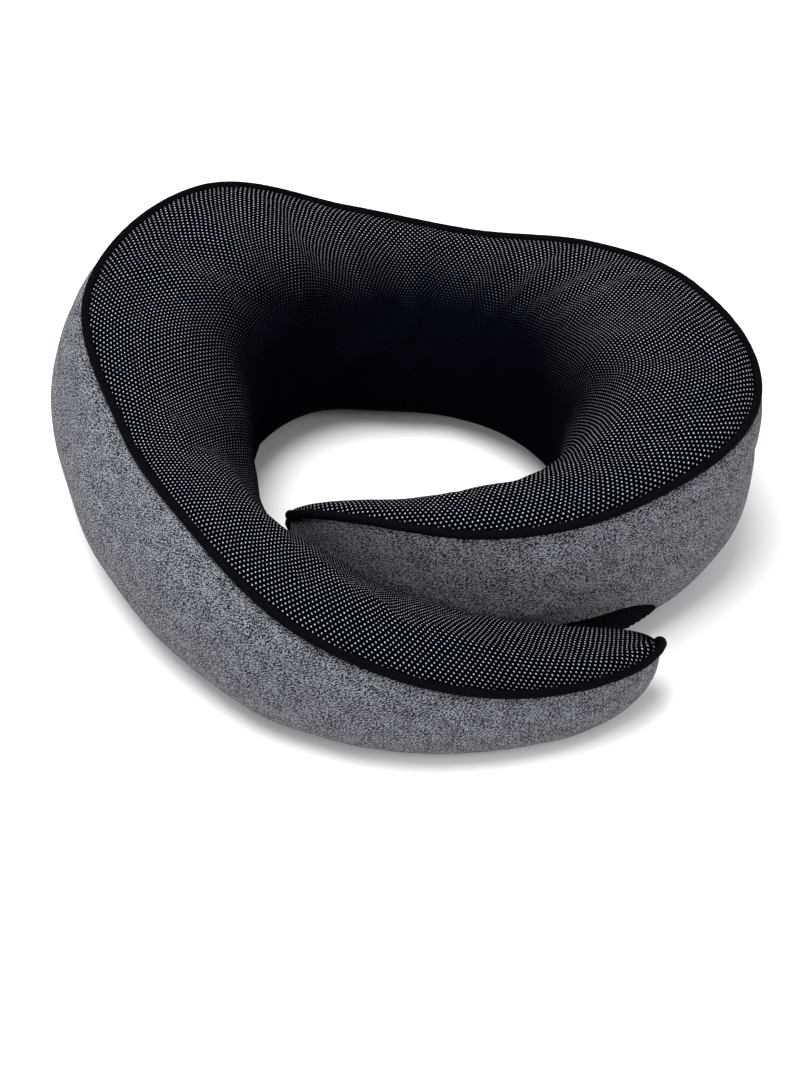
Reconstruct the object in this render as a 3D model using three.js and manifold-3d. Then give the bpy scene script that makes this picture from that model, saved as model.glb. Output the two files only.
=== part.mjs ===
// Spiral neck pillow: a moulded foam core in a knitted liner, inside a zipped two-fabric cover.
// Millimetres and degrees. +Z is up and the back of the neck is at +Y. The arms wrap round the front, and
// the left arm (-X side) passes outside the right one. Angles run round the pole, the upright line through
// the neck hole: 0 is the middle of the back, and positive angles go towards the left arm.
import * as THREE from "three";
import { mergeVertices } from "three/addons/utils/BufferGeometryUtils.js";
import Module from "manifold-3d";

const wasm = await Module();
wasm.setup();

// Overall form.
const PILLOW_WIDTH = 300;
const PILLOW_HEIGHT = 104;
const DRAWN_WIDTH = 300; // width that the form stations are drawn at
const DRAWN_HEIGHT = 104; // height that they are drawn at
const POLE_X = 6; // the pole's place, which centres the footprint on the origin
const POLE_Y = 10.3;

// Form stations: angle, then the section's middle radius, half width, half height, the direction of the
// top seam, how far the seam stands up, and how high the section floats over the floor.
const STATIONS = [
  [-210, 69, 9, 25, 48, 3, 7.5],
  [-180, 79.5, 10, 34, 60, 5.5, 6],
  [-150, 88, 16.5, 40.5, 49, 7, 4],
  [-120, 97.5, 25, 43, 48, 9, 1],
  [-90, 101.5, 38.5, 47, 43, 12.5, 0],
  [-60, 93, 42, 43.5, 60, 12, 0],
  [-30, 87.5, 41, 35.5, 63, 10.5, 0],
  [0, 85, 38.5, 30, 66, 9.5, 0],
  [30, 89, 41, 34.5, 66, 11, 0],
  [60, 104.5, 45.5, 45.5, 67, 13.5, 0],
  [90, 111.5, 45, 43.5, 62, 10.5, 0],
  [120, 106, 36.5, 36.5, 70, 5, 0],
  [150, 111, 29.5, 38, 68, 4, 0],
  [180, 120, 27, 33.5, 46, 3, 0],
  [210, 129.5, 20, 26, 27, 1, 0],
  [238, 142, 13.5, 23.5, 23, 1.5, 0],
];
const ROUNDNESS = 2.3; // superellipse power of a section
const SEAM_RISE_SPREAD = 26; // how far round the section the seam's rise reaches
const FLOOR_SINK = 2.5; // foam pressed flat where the pillow rests
const TIP_TAPER = 20; // angle over which an arm closes to its tip
const TIP_WIDTH_LEFT = 0.15; // share of the section's width that is left at the tip
const TIP_HEIGHT_LEFT = 0.25; // share of its height
const TIP_BLUNTNESS = 2.4; // power of the curve that closes a tip

// Layers and seams.
const COVER = 2.4; // mesh and jersey fabric
const LINER = 0.8;
const GAP = 0.3; // running gap between neighbouring pieces
const SEAM_OPENING = 0.8; // half the slot between the two fabrics
const THIN_COVER = 0.4; // most of the section's half width that the cover's thickness may take
const THIN_SEAM = 0.3; // most of it that half a seam's slot may take
const LOWER_SEAM = -140; // direction of the lower seam in the section
const PIPING_RADIUS = 2.3;
const LOWER_PIPING_RADIUS = 1.6;
const ARM_SPLIT = 90; // angle at which each arm bends away from the back
const SPLIT_GAP = 0.6;
const LINER_TIP_SETBACK = 4.5; // angle left open at the tip
const FOAM_TIP_SETBACK = 9;

// Zip across the outside of the back.
const ZIP_HEIGHT = 30;
const ZIP_HALF_ANGLE = 29;
const ZIP_WINDOW = 18;
const ZIP_CHAIN_WIDTH = 2.4;
const ZIP_CHAIN_SPLIT = 0.4;
const ZIP_CHAIN_PROUD = 0.6; // above the jersey's face
const ZIP_TAPE_SUNK = 0.4; // below the jersey's face
const ZIP_DEPTH = 1.4; // back of chain and tapes below the jersey's face
const ZIP_STOP_ANGLE = 1.3;
const ZIP_END_GAP = 0.3; // angle between the chain, a stop and the end of the window
const ZIP_STOP_PROUD = 1.9;
const SLIDER_LENGTH = 9;
const SLIDER_PLATE = 1.2;
const SLIDER_CLEARANCE = 0.8; // between the chain and the slider's plate
const SLIDER_SIDE_CLEARANCE = 0.5; // between the chain and the slider's flanges
const SLIDER_FLANGE = 1;
const FLANGE_BOTTOM = 0.4; // above the jersey's face
const SLIDER_REST_ANGLE = 26;
const BAIL_WINDOW = 2.4;
const BAIL_BAR = 0.9;
const BAIL_WIDTH = 1.8;
const BAIL_LENGTH = 7;
const PULL_LENGTH = 24;
const PULL_WIDTH = 7;
const PULL_THICKNESS = 1;
const PULL_EDGE = 1; // metal left between the eye and the pull's end
const PULL_HOLE = 1.6; // half width of the eye, and radius of the grip hole
const PULL_EYE_LENGTH = 4.5; // from the bail's middle along the pull
const JOINED = 0.1; // how far shapes that are one piece run into each other

// Hook and loop fastening.
const PATCH_THICKNESS = 1;
// Each patch covers a run of its arm's rings and a run of section points.
const LOOP_PATCH = { body: "right_arm", rings: [2, 6], points: [3, 5] };
const HOOK_PATCH = { body: "left_arm", rings: [9, 11], points: [10, 11] };

// How finely the form is stepped.
const BACK_STEP = 9;
const ARM_STEPS = 11;
const TIP_STEPS = [9, 4.5, 1.5, 0]; // angles left before the tip
const JERSEY_STEPS = 9;
const MESH_STEPS = 7;
const PIPING_SIDES = 7;

const LEFT_TIP = STATIONS[STATIONS.length - 1][0];
const RIGHT_TIP = STATIONS[0][0];
const RING_SIZE = JERSEY_STEPS + MESH_STEPS;

const radians = THREE.MathUtils.degToRad;
const signedPower = (value, power) => Math.sign(value) * Math.abs(value) ** power;

// ---- The form ----

// A smooth curve through the stations' values, with each slope taken from the neighbouring stations.
function stationValue(angle, column) {
  const last = STATIONS.length - 1;
  let from = 0;
  while (from < last - 1 && angle > STATIONS[from + 1][0]) from += 1;
  const [a, b] = [STATIONS[from], STATIONS[from + 1]];
  const before = STATIONS[Math.max(from - 1, 0)];
  const after = STATIONS[Math.min(from + 2, last)];
  const span = b[0] - a[0];
  const slopeA = ((b[column] - before[column]) / (b[0] - before[0])) * span;
  const slopeB = ((after[column] - a[column]) / (after[0] - a[0])) * span;
  const t = (angle - a[0]) / span;
  const bend = 3 * t * t - 2 * t * t * t;
  const lead = t * (1 - t) * ((1 - t) * slopeA - t * slopeB);
  return a[column] * (1 - bend) + b[column] * bend + lead;
}

// The section's sizes at an angle, with the tips tapered shut.
function formAt(angle) {
  const plan = PILLOW_WIDTH / DRAWN_WIDTH;
  const rise = PILLOW_HEIGHT / DRAWN_HEIGHT;
  const toTip = Math.min(LEFT_TIP - angle, angle - RIGHT_TIP);
  const close = Math.max(0, 1 - toTip / TIP_TAPER);
  const cap = Math.sqrt(Math.max(0, 1 - close ** TIP_BLUNTNESS));
  const halfHeight = stationValue(angle, 3) * rise;
  return {
    middle: stationValue(angle, 1) * plan,
    halfWidth: stationValue(angle, 2) * plan * (TIP_WIDTH_LEFT + (1 - TIP_WIDTH_LEFT) * cap),
    centreHeight: stationValue(angle, 6) * rise + halfHeight,
    reach: (halfHeight + FLOOR_SINK * cap) * (TIP_HEIGHT_LEFT + (1 - TIP_HEIGHT_LEFT) * cap),
    seamAngle: stationValue(angle, 4),
    seamRise: stationValue(angle, 5) * rise * cap,
  };
}

// A point of the section, as a Vector2 of radius and height.
function sectionPoint(form, direction) {
  const c = Math.cos(radians(direction));
  const s = Math.sin(radians(direction));
  const turn = THREE.MathUtils.euclideanModulo(direction - form.seamAngle + 180, 360) - 180;
  const bump = form.seamRise * Math.exp(-((turn / SEAM_RISE_SPREAD) ** 2));
  const across = form.halfWidth * signedPower(c, 2 / ROUNDNESS);
  const up = form.reach * signedPower(s, 2 / ROUNDNESS);
  const seam = radians(form.seamAngle);
  return new THREE.Vector2(
    form.middle + across + bump * Math.cos(seam),
    Math.max(0, form.centreHeight + up + bump * Math.sin(seam)),
  );
}

// The closed ring of section points: from the top seam down the outside, under, and up the neck side.
function sectionRing(angle) {
  const form = formAt(angle);
  const ring = [];
  for (let i = 0; i < JERSEY_STEPS; i += 1) {
    const share = i / JERSEY_STEPS;
    ring.push(sectionPoint(form, form.seamAngle + (LOWER_SEAM - form.seamAngle) * share));
  }
  for (let i = 0; i < MESH_STEPS; i += 1) {
    const share = i / MESH_STEPS;
    ring.push(sectionPoint(form, LOWER_SEAM + (form.seamAngle - 360 - LOWER_SEAM) * share));
  }
  return ring;
}

// Outward direction at each point of a section ring.
function ringNormals(ring) {
  return ring.map((_, i) => {
    const next = ring[(i + 1) % ring.length];
    const previous = ring[(i + ring.length - 1) % ring.length];
    const along = next.clone().sub(previous).normalize();
    return new THREE.Vector2(-along.y, along.x);
  });
}

// The section ring moved in, or out when the inset is negative.
function insetRing(angle, inset) {
  const ring = sectionRing(angle);
  const normals = ringNormals(ring);
  return ring.map((point, i) => point.clone().addScaledVector(normals[i], -inset));
}

// A section point set up at its angle round the pole.
function place(angle, point, shiftY = 0) {
  const turn = radians(angle);
  return new THREE.Vector3(
    POLE_X - point.x * Math.sin(turn),
    POLE_Y + point.x * Math.cos(turn) + shiftY,
    point.y,
  );
}

// The angles of each body's rings. A body's first and last ring at a split stands off it by half the gap.
const backAngles = [];
for (let angle = -ARM_SPLIT; angle <= ARM_SPLIT; angle += BACK_STEP) backAngles.push(angle);

function armAngles(tip, setback = 0) {
  const side = Math.sign(tip);
  const end = Math.abs(tip);
  const regular = end - TIP_STEPS[0];
  const angles = [];
  for (let i = 0; i < ARM_STEPS; i += 1) angles.push(ARM_SPLIT + ((regular - ARM_SPLIT) * i) / ARM_STEPS);
  for (const left of TIP_STEPS) if (left >= setback) angles.push(end - left);
  return angles.map((angle) => angle * side);
}

function splitShift(angle, body) {
  if (Math.abs(Math.abs(angle) - ARM_SPLIT) > 1e-6) return 0;
  return body === "back" ? SPLIT_GAP / 2 : -SPLIT_GAP / 2;
}

const BODIES = {
  back: () => backAngles,
  left_arm: (setback) => armAngles(LEFT_TIP, setback),
  right_arm: (setback) => armAngles(RIGHT_TIP, setback),
};

// ---- Closed meshes from rings ----

// One closed mesh from points and triangles, turned so that its faces point out.
function closedMesh(points, triangles) {
  let volume = 0;
  for (const [a, b, c] of triangles) volume += points[a].dot(points[b].clone().cross(points[c]));
  const facing = volume < 0 ? triangles.map(([a, b, c]) => [a, c, b]) : triangles;
  const geometry = new THREE.BufferGeometry().setFromPoints(points);
  geometry.setIndex(facing.flat());
  geometry.computeVertexNormals();
  return geometry;
}

// Joins two rows of point numbers into a band of triangles.
function band(rowA, rowB, wrap) {
  const triangles = [];
  const count = wrap ? rowA.length : rowA.length - 1;
  for (let i = 0; i < count; i += 1) {
    const next = (i + 1) % rowA.length;
    triangles.push([rowA[i], rowB[i], rowB[next]], [rowA[i], rowB[next], rowA[next]]);
  }
  return triangles;
}

// The same band seen from its other side, split along the same diagonals, so that layers nest.
const bandBehind = (rowA, rowB, wrap) => band(rowA, rowB, wrap).map(([a, b, c]) => [a, c, b]);

const numbers = (start, count) => Array.from({ length: count }, (_, i) => start + i);

// A solid through rings of points, closed by a fan at each end.
function ringSolid(rings) {
  const size = rings[0].length;
  const points = rings.flat();
  const triangles = [];
  for (let i = 1; i < rings.length; i += 1) {
    triangles.push(...band(numbers((i - 1) * size, size), numbers(i * size, size), true));
  }
  const ends = [rings[0], rings[rings.length - 1]];
  ends.forEach((ring, end) => {
    const centre = ring.reduce((sum, p) => sum.add(p), new THREE.Vector3()).divideScalar(size);
    const first = end === 0 ? 0 : (rings.length - 1) * size;
    points.push(centre);
    for (let i = 0; i < size; i += 1) {
      const pair = [first + i, first + ((i + 1) % size)];
      triangles.push(end === 0 ? [points.length - 1, ...pair] : [points.length - 1, ...pair.reverse()]);
    }
  });
  return closedMesh(points, triangles);
}

// A sheet with thickness from rows of outer and inner points. A wrapped sheet is a sleeve, open at its ends.
function sheetSolid(rows, wrap) {
  const size = rows[0].outer.length;
  const points = rows.flatMap((row) => [...row.outer, ...row.inner]);
  const outer = (i) => numbers(i * 2 * size, size);
  const inner = (i) => numbers(i * 2 * size + size, size);
  const triangles = [];
  for (let i = 1; i < rows.length; i += 1) {
    triangles.push(...band(outer(i - 1), outer(i), wrap), ...bandBehind(inner(i - 1), inner(i), wrap));
    if (!wrap) {
      triangles.push(...band([inner(i - 1)[0], outer(i - 1)[0]], [inner(i)[0], outer(i)[0]], false));
      const far = size - 1;
      const edges = [[outer(i - 1)[far], inner(i - 1)[far]], [outer(i)[far], inner(i)[far]]];
      triangles.push(...band(...edges, false));
    }
  }
  const last = rows.length - 1;
  triangles.push(...band(inner(0), outer(0), wrap), ...band(outer(last), inner(last), wrap));
  return closedMesh(points, triangles);
}

// ---- Booleans ----

function toSolid(geometry) {
  const bare = geometry.clone();
  bare.deleteAttribute("normal");
  bare.deleteAttribute("uv");
  const merged = mergeVertices(bare, 1e-4);
  const mesh = new wasm.Mesh({
    numProp: 3,
    vertProperties: new Float32Array(merged.attributes.position.array),
    triVerts: new Uint32Array(merged.index.array),
  });
  return new wasm.Manifold(mesh);
}

function toGeometry(solid) {
  const mesh = solid.getMesh();
  const geometry = new THREE.BufferGeometry();
  geometry.setAttribute("position", new THREE.Float32BufferAttribute(mesh.vertProperties, mesh.numProp));
  geometry.setIndex(Array.from(mesh.triVerts));
  geometry.computeVertexNormals();
  return geometry;
}

const join = (...parts) => toGeometry(parts.map(toSolid).reduce((whole, part) => whole.add(part)));
const cut = (whole, tool) => toGeometry(toSolid(whole).subtract(toSolid(tool)));

// ---- Layers of the pillow ----

function foamCore(body) {
  const inset = COVER + LINER + 2 * GAP;
  const angles = BODIES[body](FOAM_TIP_SETBACK);
  return ringSolid(
    angles.map((angle) => insetRing(angle, inset).map((p) => place(angle, p, splitShift(angle, body)))),
  );
}

function liner(body) {
  const rows = BODIES[body](LINER_TIP_SETBACK).map((angle) => {
    const set = (inset) => insetRing(angle, inset).map((p) => place(angle, p, splitShift(angle, body)));
    return { outer: set(COVER + GAP), inner: set(COVER + GAP + LINER) };
  });
  return sheetSolid(rows, true);
}

// A cover panel between two ring points, pulled back from the seam at each edge by half the seam's slot.
// It thins where an arm closes at its tip.
function coverPanel(body, fromPoint, toPoint) {
  const rows = BODIES[body](0).map((angle) => {
    const edge = Math.min(SEAM_OPENING, formAt(angle).halfWidth * THIN_SEAM);
    const strip = (inset) => {
      const ring = insetRing(angle, inset);
      const points = [];
      for (let i = fromPoint; i <= toPoint; i += 1) points.push(ring[i % RING_SIZE].clone());
      const pullBack = (at, towards) => {
        const step = points[towards].clone().sub(points[at]);
        points[at].addScaledVector(step, Math.min(edge / step.length(), THIN_COVER));
      };
      pullBack(0, 1);
      pullBack(points.length - 1, points.length - 2);
      return points.map((p) => place(angle, p, splitShift(angle, body)));
    };
    return { outer: strip(0), inner: strip(Math.min(COVER, formAt(angle).halfWidth * THIN_COVER)) };
  });
  return sheetSolid(rows, false);
}

const jerseyPanel = (body) => coverPanel(body, 0, JERSEY_STEPS);
const meshPanel = (body) => coverPanel(body, JERSEY_STEPS, RING_SIZE);

// A ring of cord round a point, in the plane of two directions.
function cordRing(centre, radius, sideways, upward) {
  const ring = [];
  for (let i = 0; i < PIPING_SIDES; i += 1) {
    const turn = (i / PIPING_SIDES) * Math.PI * 2;
    ring.push(
      centre
        .clone()
        .addScaledVector(sideways, radius * Math.cos(turn))
        .addScaledVector(upward, radius * Math.sin(turn)),
    );
  }
  return ring;
}

// Cord piping along one seam. On an arm it turns over the tip and runs half way down, or up, its end.
function piping(body, seamPoint, radius) {
  const up = new THREE.Vector3(0, 0, 1);
  const standOff = radius + GAP;
  const outwardAt = (angle) => place(angle, new THREE.Vector2(1, 0)).sub(place(angle, new THREE.Vector2()));
  const rings = BODIES[body](0).map((angle) => {
    const ring = sectionRing(angle);
    const point = ring[seamPoint].clone().addScaledVector(ringNormals(ring)[seamPoint], standOff);
    return cordRing(place(angle, point, splitShift(angle, body)), radius, outwardAt(angle), up);
  });
  if (body === "back") return ringSolid(rings);
  const tip = body === "left_arm" ? LEFT_TIP : RIGHT_TIP;
  const form = formAt(tip);
  const side = seamPoint === 0 ? 1 : -1;
  const outward = outwardAt(tip);
  const ahead = new THREE.Vector3().crossVectors(up, outward).multiplyScalar(Math.sign(tip));
  const edge = place(tip, sectionRing(tip)[seamPoint]);
  const half = place(tip, new THREE.Vector2(form.middle, form.centreHeight));
  for (const turn of [45, 90]) {
    const along = ahead.clone().multiplyScalar(Math.sin(radians(turn)));
    const rise = up.clone().multiplyScalar(side * Math.cos(radians(turn)));
    const centre = edge.clone().addScaledVector(along.clone().add(rise), standOff);
    const upward = up
      .clone()
      .multiplyScalar(Math.cos(radians(turn)))
      .addScaledVector(ahead, side * Math.sin(radians(turn)));
    rings.push(cordRing(centre, radius, outward, upward));
  }
  const end = half.clone().addScaledVector(ahead, standOff);
  end.z += side * SPLIT_GAP;
  rings.push(cordRing(end, radius, outward, ahead.clone().multiplyScalar(side)));
  return ringSolid(rings);
}

// A sewn patch that lies on the cover over a run of an arm's rings and a run of section points.
function patch({ body, rings, points }) {
  const rows = BODIES[body](0)
    .slice(rings[0], rings[1] + 1)
    .map((angle) => {
      const strip = (standOff) =>
        insetRing(angle, -standOff)
          .slice(points[0], points[1] + 1)
          .map((p) => place(angle, p));
      return { outer: strip(GAP + PATCH_THICKNESS), inner: strip(GAP) };
    });
  return sheetSolid(rows, false);
}

// ---- Zip ----

// A point on the jersey's face at a height on the outside of the back, moved out by an offset. It lies on the
// flat between two rings, as the jersey does.
function backFace(angle, height, offset) {
  const atRing = (ringAngle) => {
    const ring = sectionRing(ringAngle);
    for (let i = 0; i < JERSEY_STEPS; i += 1) {
      const [upper, lower] = [ring[i], ring[(i + 1) % RING_SIZE]];
      if (upper.y >= height && lower.y <= height) {
        const share = (upper.y - height) / (upper.y - lower.y);
        const radius = upper.x + (lower.x - upper.x) * share;
        return place(ringAngle, new THREE.Vector2(radius + offset, height));
      }
    }
    throw new Error("the zip is higher than the back");
  };
  const below = Math.floor(angle / BACK_STEP) * BACK_STEP;
  const share = (angle - below) / BACK_STEP;
  if (share < 1e-6) return atRing(below);
  return atRing(below).lerp(atRing(below + BACK_STEP), share);
}

// A bar that follows the outside of the back between two heights and two offsets.
function backBar(fromAngle, toAngle, low, high, deep, proud) {
  const angles = [fromAngle, ...backAngles.filter((a) => a > fromAngle && a < toAngle), toAngle];
  const rows = angles.map((angle) => ({
    outer: [backFace(angle, high, proud), backFace(angle, low, proud)],
    inner: [backFace(angle, high, -deep), backFace(angle, low, -deep)],
  }));
  return sheetSolid(rows, false);
}

const ZIP_END = ZIP_HALF_ANGLE + ZIP_STOP_ANGLE + 3 * ZIP_END_GAP;
const CHAIN_INNER = ZIP_CHAIN_SPLIT / 2;
const CHAIN_OUTER = CHAIN_INNER + ZIP_CHAIN_WIDTH;

function zipWindow() {
  const half = ZIP_WINDOW / 2;
  return backBar(-ZIP_END, ZIP_END, ZIP_HEIGHT - half, ZIP_HEIGHT + half, COVER * 3, COVER * 3);
}

function zipChain(side) {
  const edges = [ZIP_HEIGHT + side * CHAIN_INNER, ZIP_HEIGHT + side * CHAIN_OUTER];
  const [low, high] = [Math.min(...edges), Math.max(...edges)];
  return backBar(-ZIP_HALF_ANGLE, ZIP_HALF_ANGLE, low, high, ZIP_DEPTH, ZIP_CHAIN_PROUD);
}

function zipTape(side) {
  const outerEdge = ZIP_WINDOW / 2 - GAP;
  const edges = [ZIP_HEIGHT + side * (CHAIN_OUTER + GAP), ZIP_HEIGHT + side * outerEdge];
  const [low, high] = [Math.min(...edges), Math.max(...edges)];
  const end = ZIP_END - ZIP_END_GAP;
  return backBar(-end, end, low, high, ZIP_DEPTH, -ZIP_TAPE_SUNK);
}

function zipStop(side) {
  const near = ZIP_HALF_ANGLE + ZIP_END_GAP;
  const far = near + ZIP_STOP_ANGLE;
  const [from, to] = side > 0 ? [near, far] : [-far, -near];
  return backBar(from, to, ZIP_HEIGHT - CHAIN_OUTER, ZIP_HEIGHT + CHAIN_OUTER, ZIP_DEPTH, ZIP_STOP_PROUD);
}

// The circle that the slider runs on: through the jersey's face at both ends of its travel and the middle.
function zipCircle() {
  const [left, middle, right] = [SLIDER_REST_ANGLE, 0, -SLIDER_REST_ANGLE].map((angle) =>
    backFace(angle, ZIP_HEIGHT, 0),
  );
  const a = left.clone().sub(middle);
  const b = right.clone().sub(middle);
  const twice = 2 * (a.x * b.y - a.y * b.x);
  const centre = new THREE.Vector3(
    middle.x + (b.y * a.lengthSq() - a.y * b.lengthSq()) / twice,
    middle.y + (a.x * b.lengthSq() - b.x * a.lengthSq()) / twice,
    ZIP_HEIGHT,
  );
  return { centre, radius: centre.distanceTo(middle), start: left };
}

// A plate cut to an outline in the plane of the tape, between two distances out from the tape.
function plate(outline, from, to) {
  const geometry = new THREE.ExtrudeGeometry(outline, {
    depth: to - from,
    bevelEnabled: false,
    curveSegments: 5,
  });
  return geometry.rotateX(Math.PI / 2).translate(0, to, 0);
}

function block(length, width, from, to, x = 0, z = 0) {
  return new THREE.BoxGeometry(length, to - from, width).translate(x, (from + to) / 2, z);
}

function roundedBar(left, right, halfWidth) {
  const outline = new THREE.Shape();
  outline.moveTo(left, -halfWidth);
  outline.lineTo(right - halfWidth, -halfWidth);
  outline.absarc(right - halfWidth, 0, halfWidth, -Math.PI / 2, Math.PI / 2, false);
  outline.lineTo(left, halfWidth);
  outline.closePath();
  return outline;
}

const PLATE_BOTTOM = ZIP_CHAIN_PROUD + SLIDER_CLEARANCE;
const PLATE_TOP = PLATE_BOTTOM + SLIDER_PLATE;
const BAIL_TOP = PLATE_TOP + BAIL_WINDOW;
const FLANGE_INNER = CHAIN_OUTER + SLIDER_SIDE_CLEARANCE;

function zipSlider() {
  const half = SLIDER_LENGTH / 2;
  const body = plate(roundedBar(-half, half, FLANGE_INNER + SLIDER_FLANGE), PLATE_BOTTOM, PLATE_TOP);
  const flangeMiddle = FLANGE_INNER + SLIDER_FLANGE / 2;
  const flanges = [1, -1].map((side) =>
    block(half, SLIDER_FLANGE, FLANGE_BOTTOM, PLATE_TOP - JOINED, -half / 2, side * flangeMiddle),
  );
  const legMiddle = (BAIL_LENGTH - BAIL_BAR) / 2;
  const legs = [1, -1].map((side) =>
    block(BAIL_BAR, BAIL_WIDTH, PLATE_TOP - JOINED, BAIL_TOP + JOINED, side * legMiddle),
  );
  const bar = block(BAIL_LENGTH, BAIL_WIDTH, BAIL_TOP, BAIL_TOP + BAIL_BAR);
  return join(body, ...flanges, ...legs, bar);
}

// The pull: a tab with an eye that is held under the bail, and a grip hole near its free end.
function zipPull() {
  const eyeStart = PULL_EDGE / 2;
  const outline = roundedBar(eyeStart - PULL_EDGE, PULL_LENGTH, PULL_WIDTH / 2);
  const eye = new THREE.Path();
  eye.moveTo(eyeStart, -PULL_HOLE);
  eye.lineTo(eyeStart, PULL_HOLE);
  eye.lineTo(PULL_EYE_LENGTH, PULL_HOLE);
  eye.lineTo(PULL_EYE_LENGTH, -PULL_HOLE);
  eye.closePath();
  const grip = new THREE.Path();
  grip.absarc(PULL_LENGTH - PULL_WIDTH / 2, 0, PULL_HOLE, 0, Math.PI * 2, true);
  outline.holes.push(eye, grip);
  return plate(outline, -PULL_THICKNESS / 2, PULL_THICKNESS / 2);
}

// ---- Materials ----

const finish = (color, roughness, metalness = 0) =>
  new THREE.MeshStandardMaterial({ color, roughness, metalness });

const FOAM = finish(0xe8dfc4, 0.95);
const LINER_KNIT = finish(0xe4e4e0, 0.95);
const JERSEY = finish(0x6e7078, 0.95);
const MESH = finish(0x14151a, 0.85);
const PIPING = finish(0x0b0b0e, 0.8);
const ZIP_TAPE = finish(0x101014, 0.9);
const ZIP_NYLON = finish(0x18181c, 0.45);
const ZIP_METAL = finish(0x3a3a3e, 0.35, 0.9);
const FASTENER = finish(0x0a0a0c, 0.95);

// ---- Assembly ----

const pillow = new THREE.Group();

function add(name, geometry, material, parent = pillow) {
  const mesh = new THREE.Mesh(geometry, material);
  mesh.name = name;
  parent.add(mesh);
  return mesh;
}

for (const body of Object.keys(BODIES)) {
  const jersey = jerseyPanel(body);
  add(`foam_core_${body}`, foamCore(body), FOAM);
  add(`liner_${body}`, liner(body), LINER_KNIT);
  add(`jersey_panel_${body}`, body === "back" ? cut(jersey, zipWindow()) : jersey, JERSEY);
  add(`mesh_panel_${body}`, meshPanel(body), MESH);
  add(`top_piping_${body}`, piping(body, 0, PIPING_RADIUS), PIPING);
  add(`lower_piping_${body}`, piping(body, JERSEY_STEPS, LOWER_PIPING_RADIUS), PIPING);
}

add("loop_patch", patch(LOOP_PATCH), FASTENER);
add("hook_patch", patch(HOOK_PATCH), FASTENER);

for (const [half, side] of [["upper", 1], ["lower", -1]]) {
  add(`zip_tape_${half}`, zipTape(side), ZIP_TAPE);
  add(`zip_chain_${half}`, zipChain(side), ZIP_NYLON);
}
add("zip_top_stop", zipStop(1), ZIP_METAL);
add("zip_bottom_stop", zipStop(-1), ZIP_METAL);

const circle = zipCircle();
const sliderGroup = new THREE.Group();
sliderGroup.position.copy(circle.start);
sliderGroup.rotation.z = Math.asin((circle.centre.x - circle.start.x) / circle.radius);
pillow.add(sliderGroup);
add("zip_slider", zipSlider(), ZIP_METAL, sliderGroup);

const pullGroup = new THREE.Group();
pullGroup.position.y = PLATE_TOP + BAIL_WINDOW / 2;
sliderGroup.add(pullGroup);
add("zip_pull", zipPull(), ZIP_METAL, pullGroup);

export default pillow;
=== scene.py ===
import math

import bmesh
import bpy
import numpy as np
from bpy.props import FloatProperty, FloatVectorProperty, IntProperty, PointerProperty
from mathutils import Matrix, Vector


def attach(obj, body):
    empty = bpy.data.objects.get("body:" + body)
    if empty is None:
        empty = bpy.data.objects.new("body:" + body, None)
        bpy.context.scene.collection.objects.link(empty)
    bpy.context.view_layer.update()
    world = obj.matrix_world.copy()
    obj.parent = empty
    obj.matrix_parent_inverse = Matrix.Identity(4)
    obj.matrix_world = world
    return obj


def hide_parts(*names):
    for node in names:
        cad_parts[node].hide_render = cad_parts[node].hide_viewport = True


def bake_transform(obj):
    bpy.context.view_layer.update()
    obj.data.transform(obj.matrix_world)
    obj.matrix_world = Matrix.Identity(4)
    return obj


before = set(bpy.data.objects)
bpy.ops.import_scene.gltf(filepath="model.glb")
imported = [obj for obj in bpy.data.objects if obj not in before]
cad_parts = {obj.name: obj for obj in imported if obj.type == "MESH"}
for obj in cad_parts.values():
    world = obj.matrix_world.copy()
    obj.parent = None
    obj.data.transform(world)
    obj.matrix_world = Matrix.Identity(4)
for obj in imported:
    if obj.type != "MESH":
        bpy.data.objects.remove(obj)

bl_info = {
    "name": "Spiral neck pillow",
    "version": (1, 0, 0),
    "blender": (4, 5, 0),
    "location": "View3D > Sidebar > Neck pillow",
    "description": "Builds the soft covers, piping, zip and fastening of a spiral neck pillow around its frame",
    "category": "Object",
}

# ---- The pillow's form, in metres and degrees ----
# Angles run round the pole, the upright line through the neck hole: 0 is the middle of the back and
# positive angles go towards the left arm. Each station gives the section's middle radius, half width,
# half height, the direction of its top seam, how far that seam stands up, and its height off the floor.

POLE = np.array([0.006, 0.0103])
STATIONS = np.array([
    [-210, 0.0690, 0.0090, 0.0250, 48, 0.0030, 0.0075],
    [-180, 0.0795, 0.0100, 0.0340, 60, 0.0055, 0.0060],
    [-150, 0.0880, 0.0165, 0.0405, 49, 0.0070, 0.0040],
    [-120, 0.0975, 0.0250, 0.0430, 48, 0.0090, 0.0010],
    [-90, 0.1015, 0.0385, 0.0470, 43, 0.0125, 0.0],
    [-60, 0.0930, 0.0420, 0.0435, 60, 0.0120, 0.0],
    [-30, 0.0875, 0.0410, 0.0355, 63, 0.0105, 0.0],
    [0, 0.0850, 0.0385, 0.0300, 66, 0.0095, 0.0],
    [30, 0.0890, 0.0410, 0.0345, 66, 0.0110, 0.0],
    [60, 0.1045, 0.0455, 0.0455, 67, 0.0135, 0.0],
    [90, 0.1115, 0.0450, 0.0435, 62, 0.0105, 0.0],
    [120, 0.1060, 0.0365, 0.0365, 70, 0.0050, 0.0],
    [150, 0.1110, 0.0295, 0.0380, 68, 0.0040, 0.0],
    [180, 0.1200, 0.0270, 0.0335, 46, 0.0030, 0.0],
    [210, 0.1295, 0.0200, 0.0260, 27, 0.0010, 0.0],
    [238, 0.1420, 0.0135, 0.0235, 23, 0.0015, 0.0],
])
LEFT_TIP = STATIONS[-1, 0] - 1.8  # the rolled seam makes up the rest
RIGHT_TIP = STATIONS[0, 0]
ROUNDNESS = 2.3
SEAM_RISE_SPREAD = 26
FLOOR_SINK = 0.0025
TIP_TAPER = 20
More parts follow.
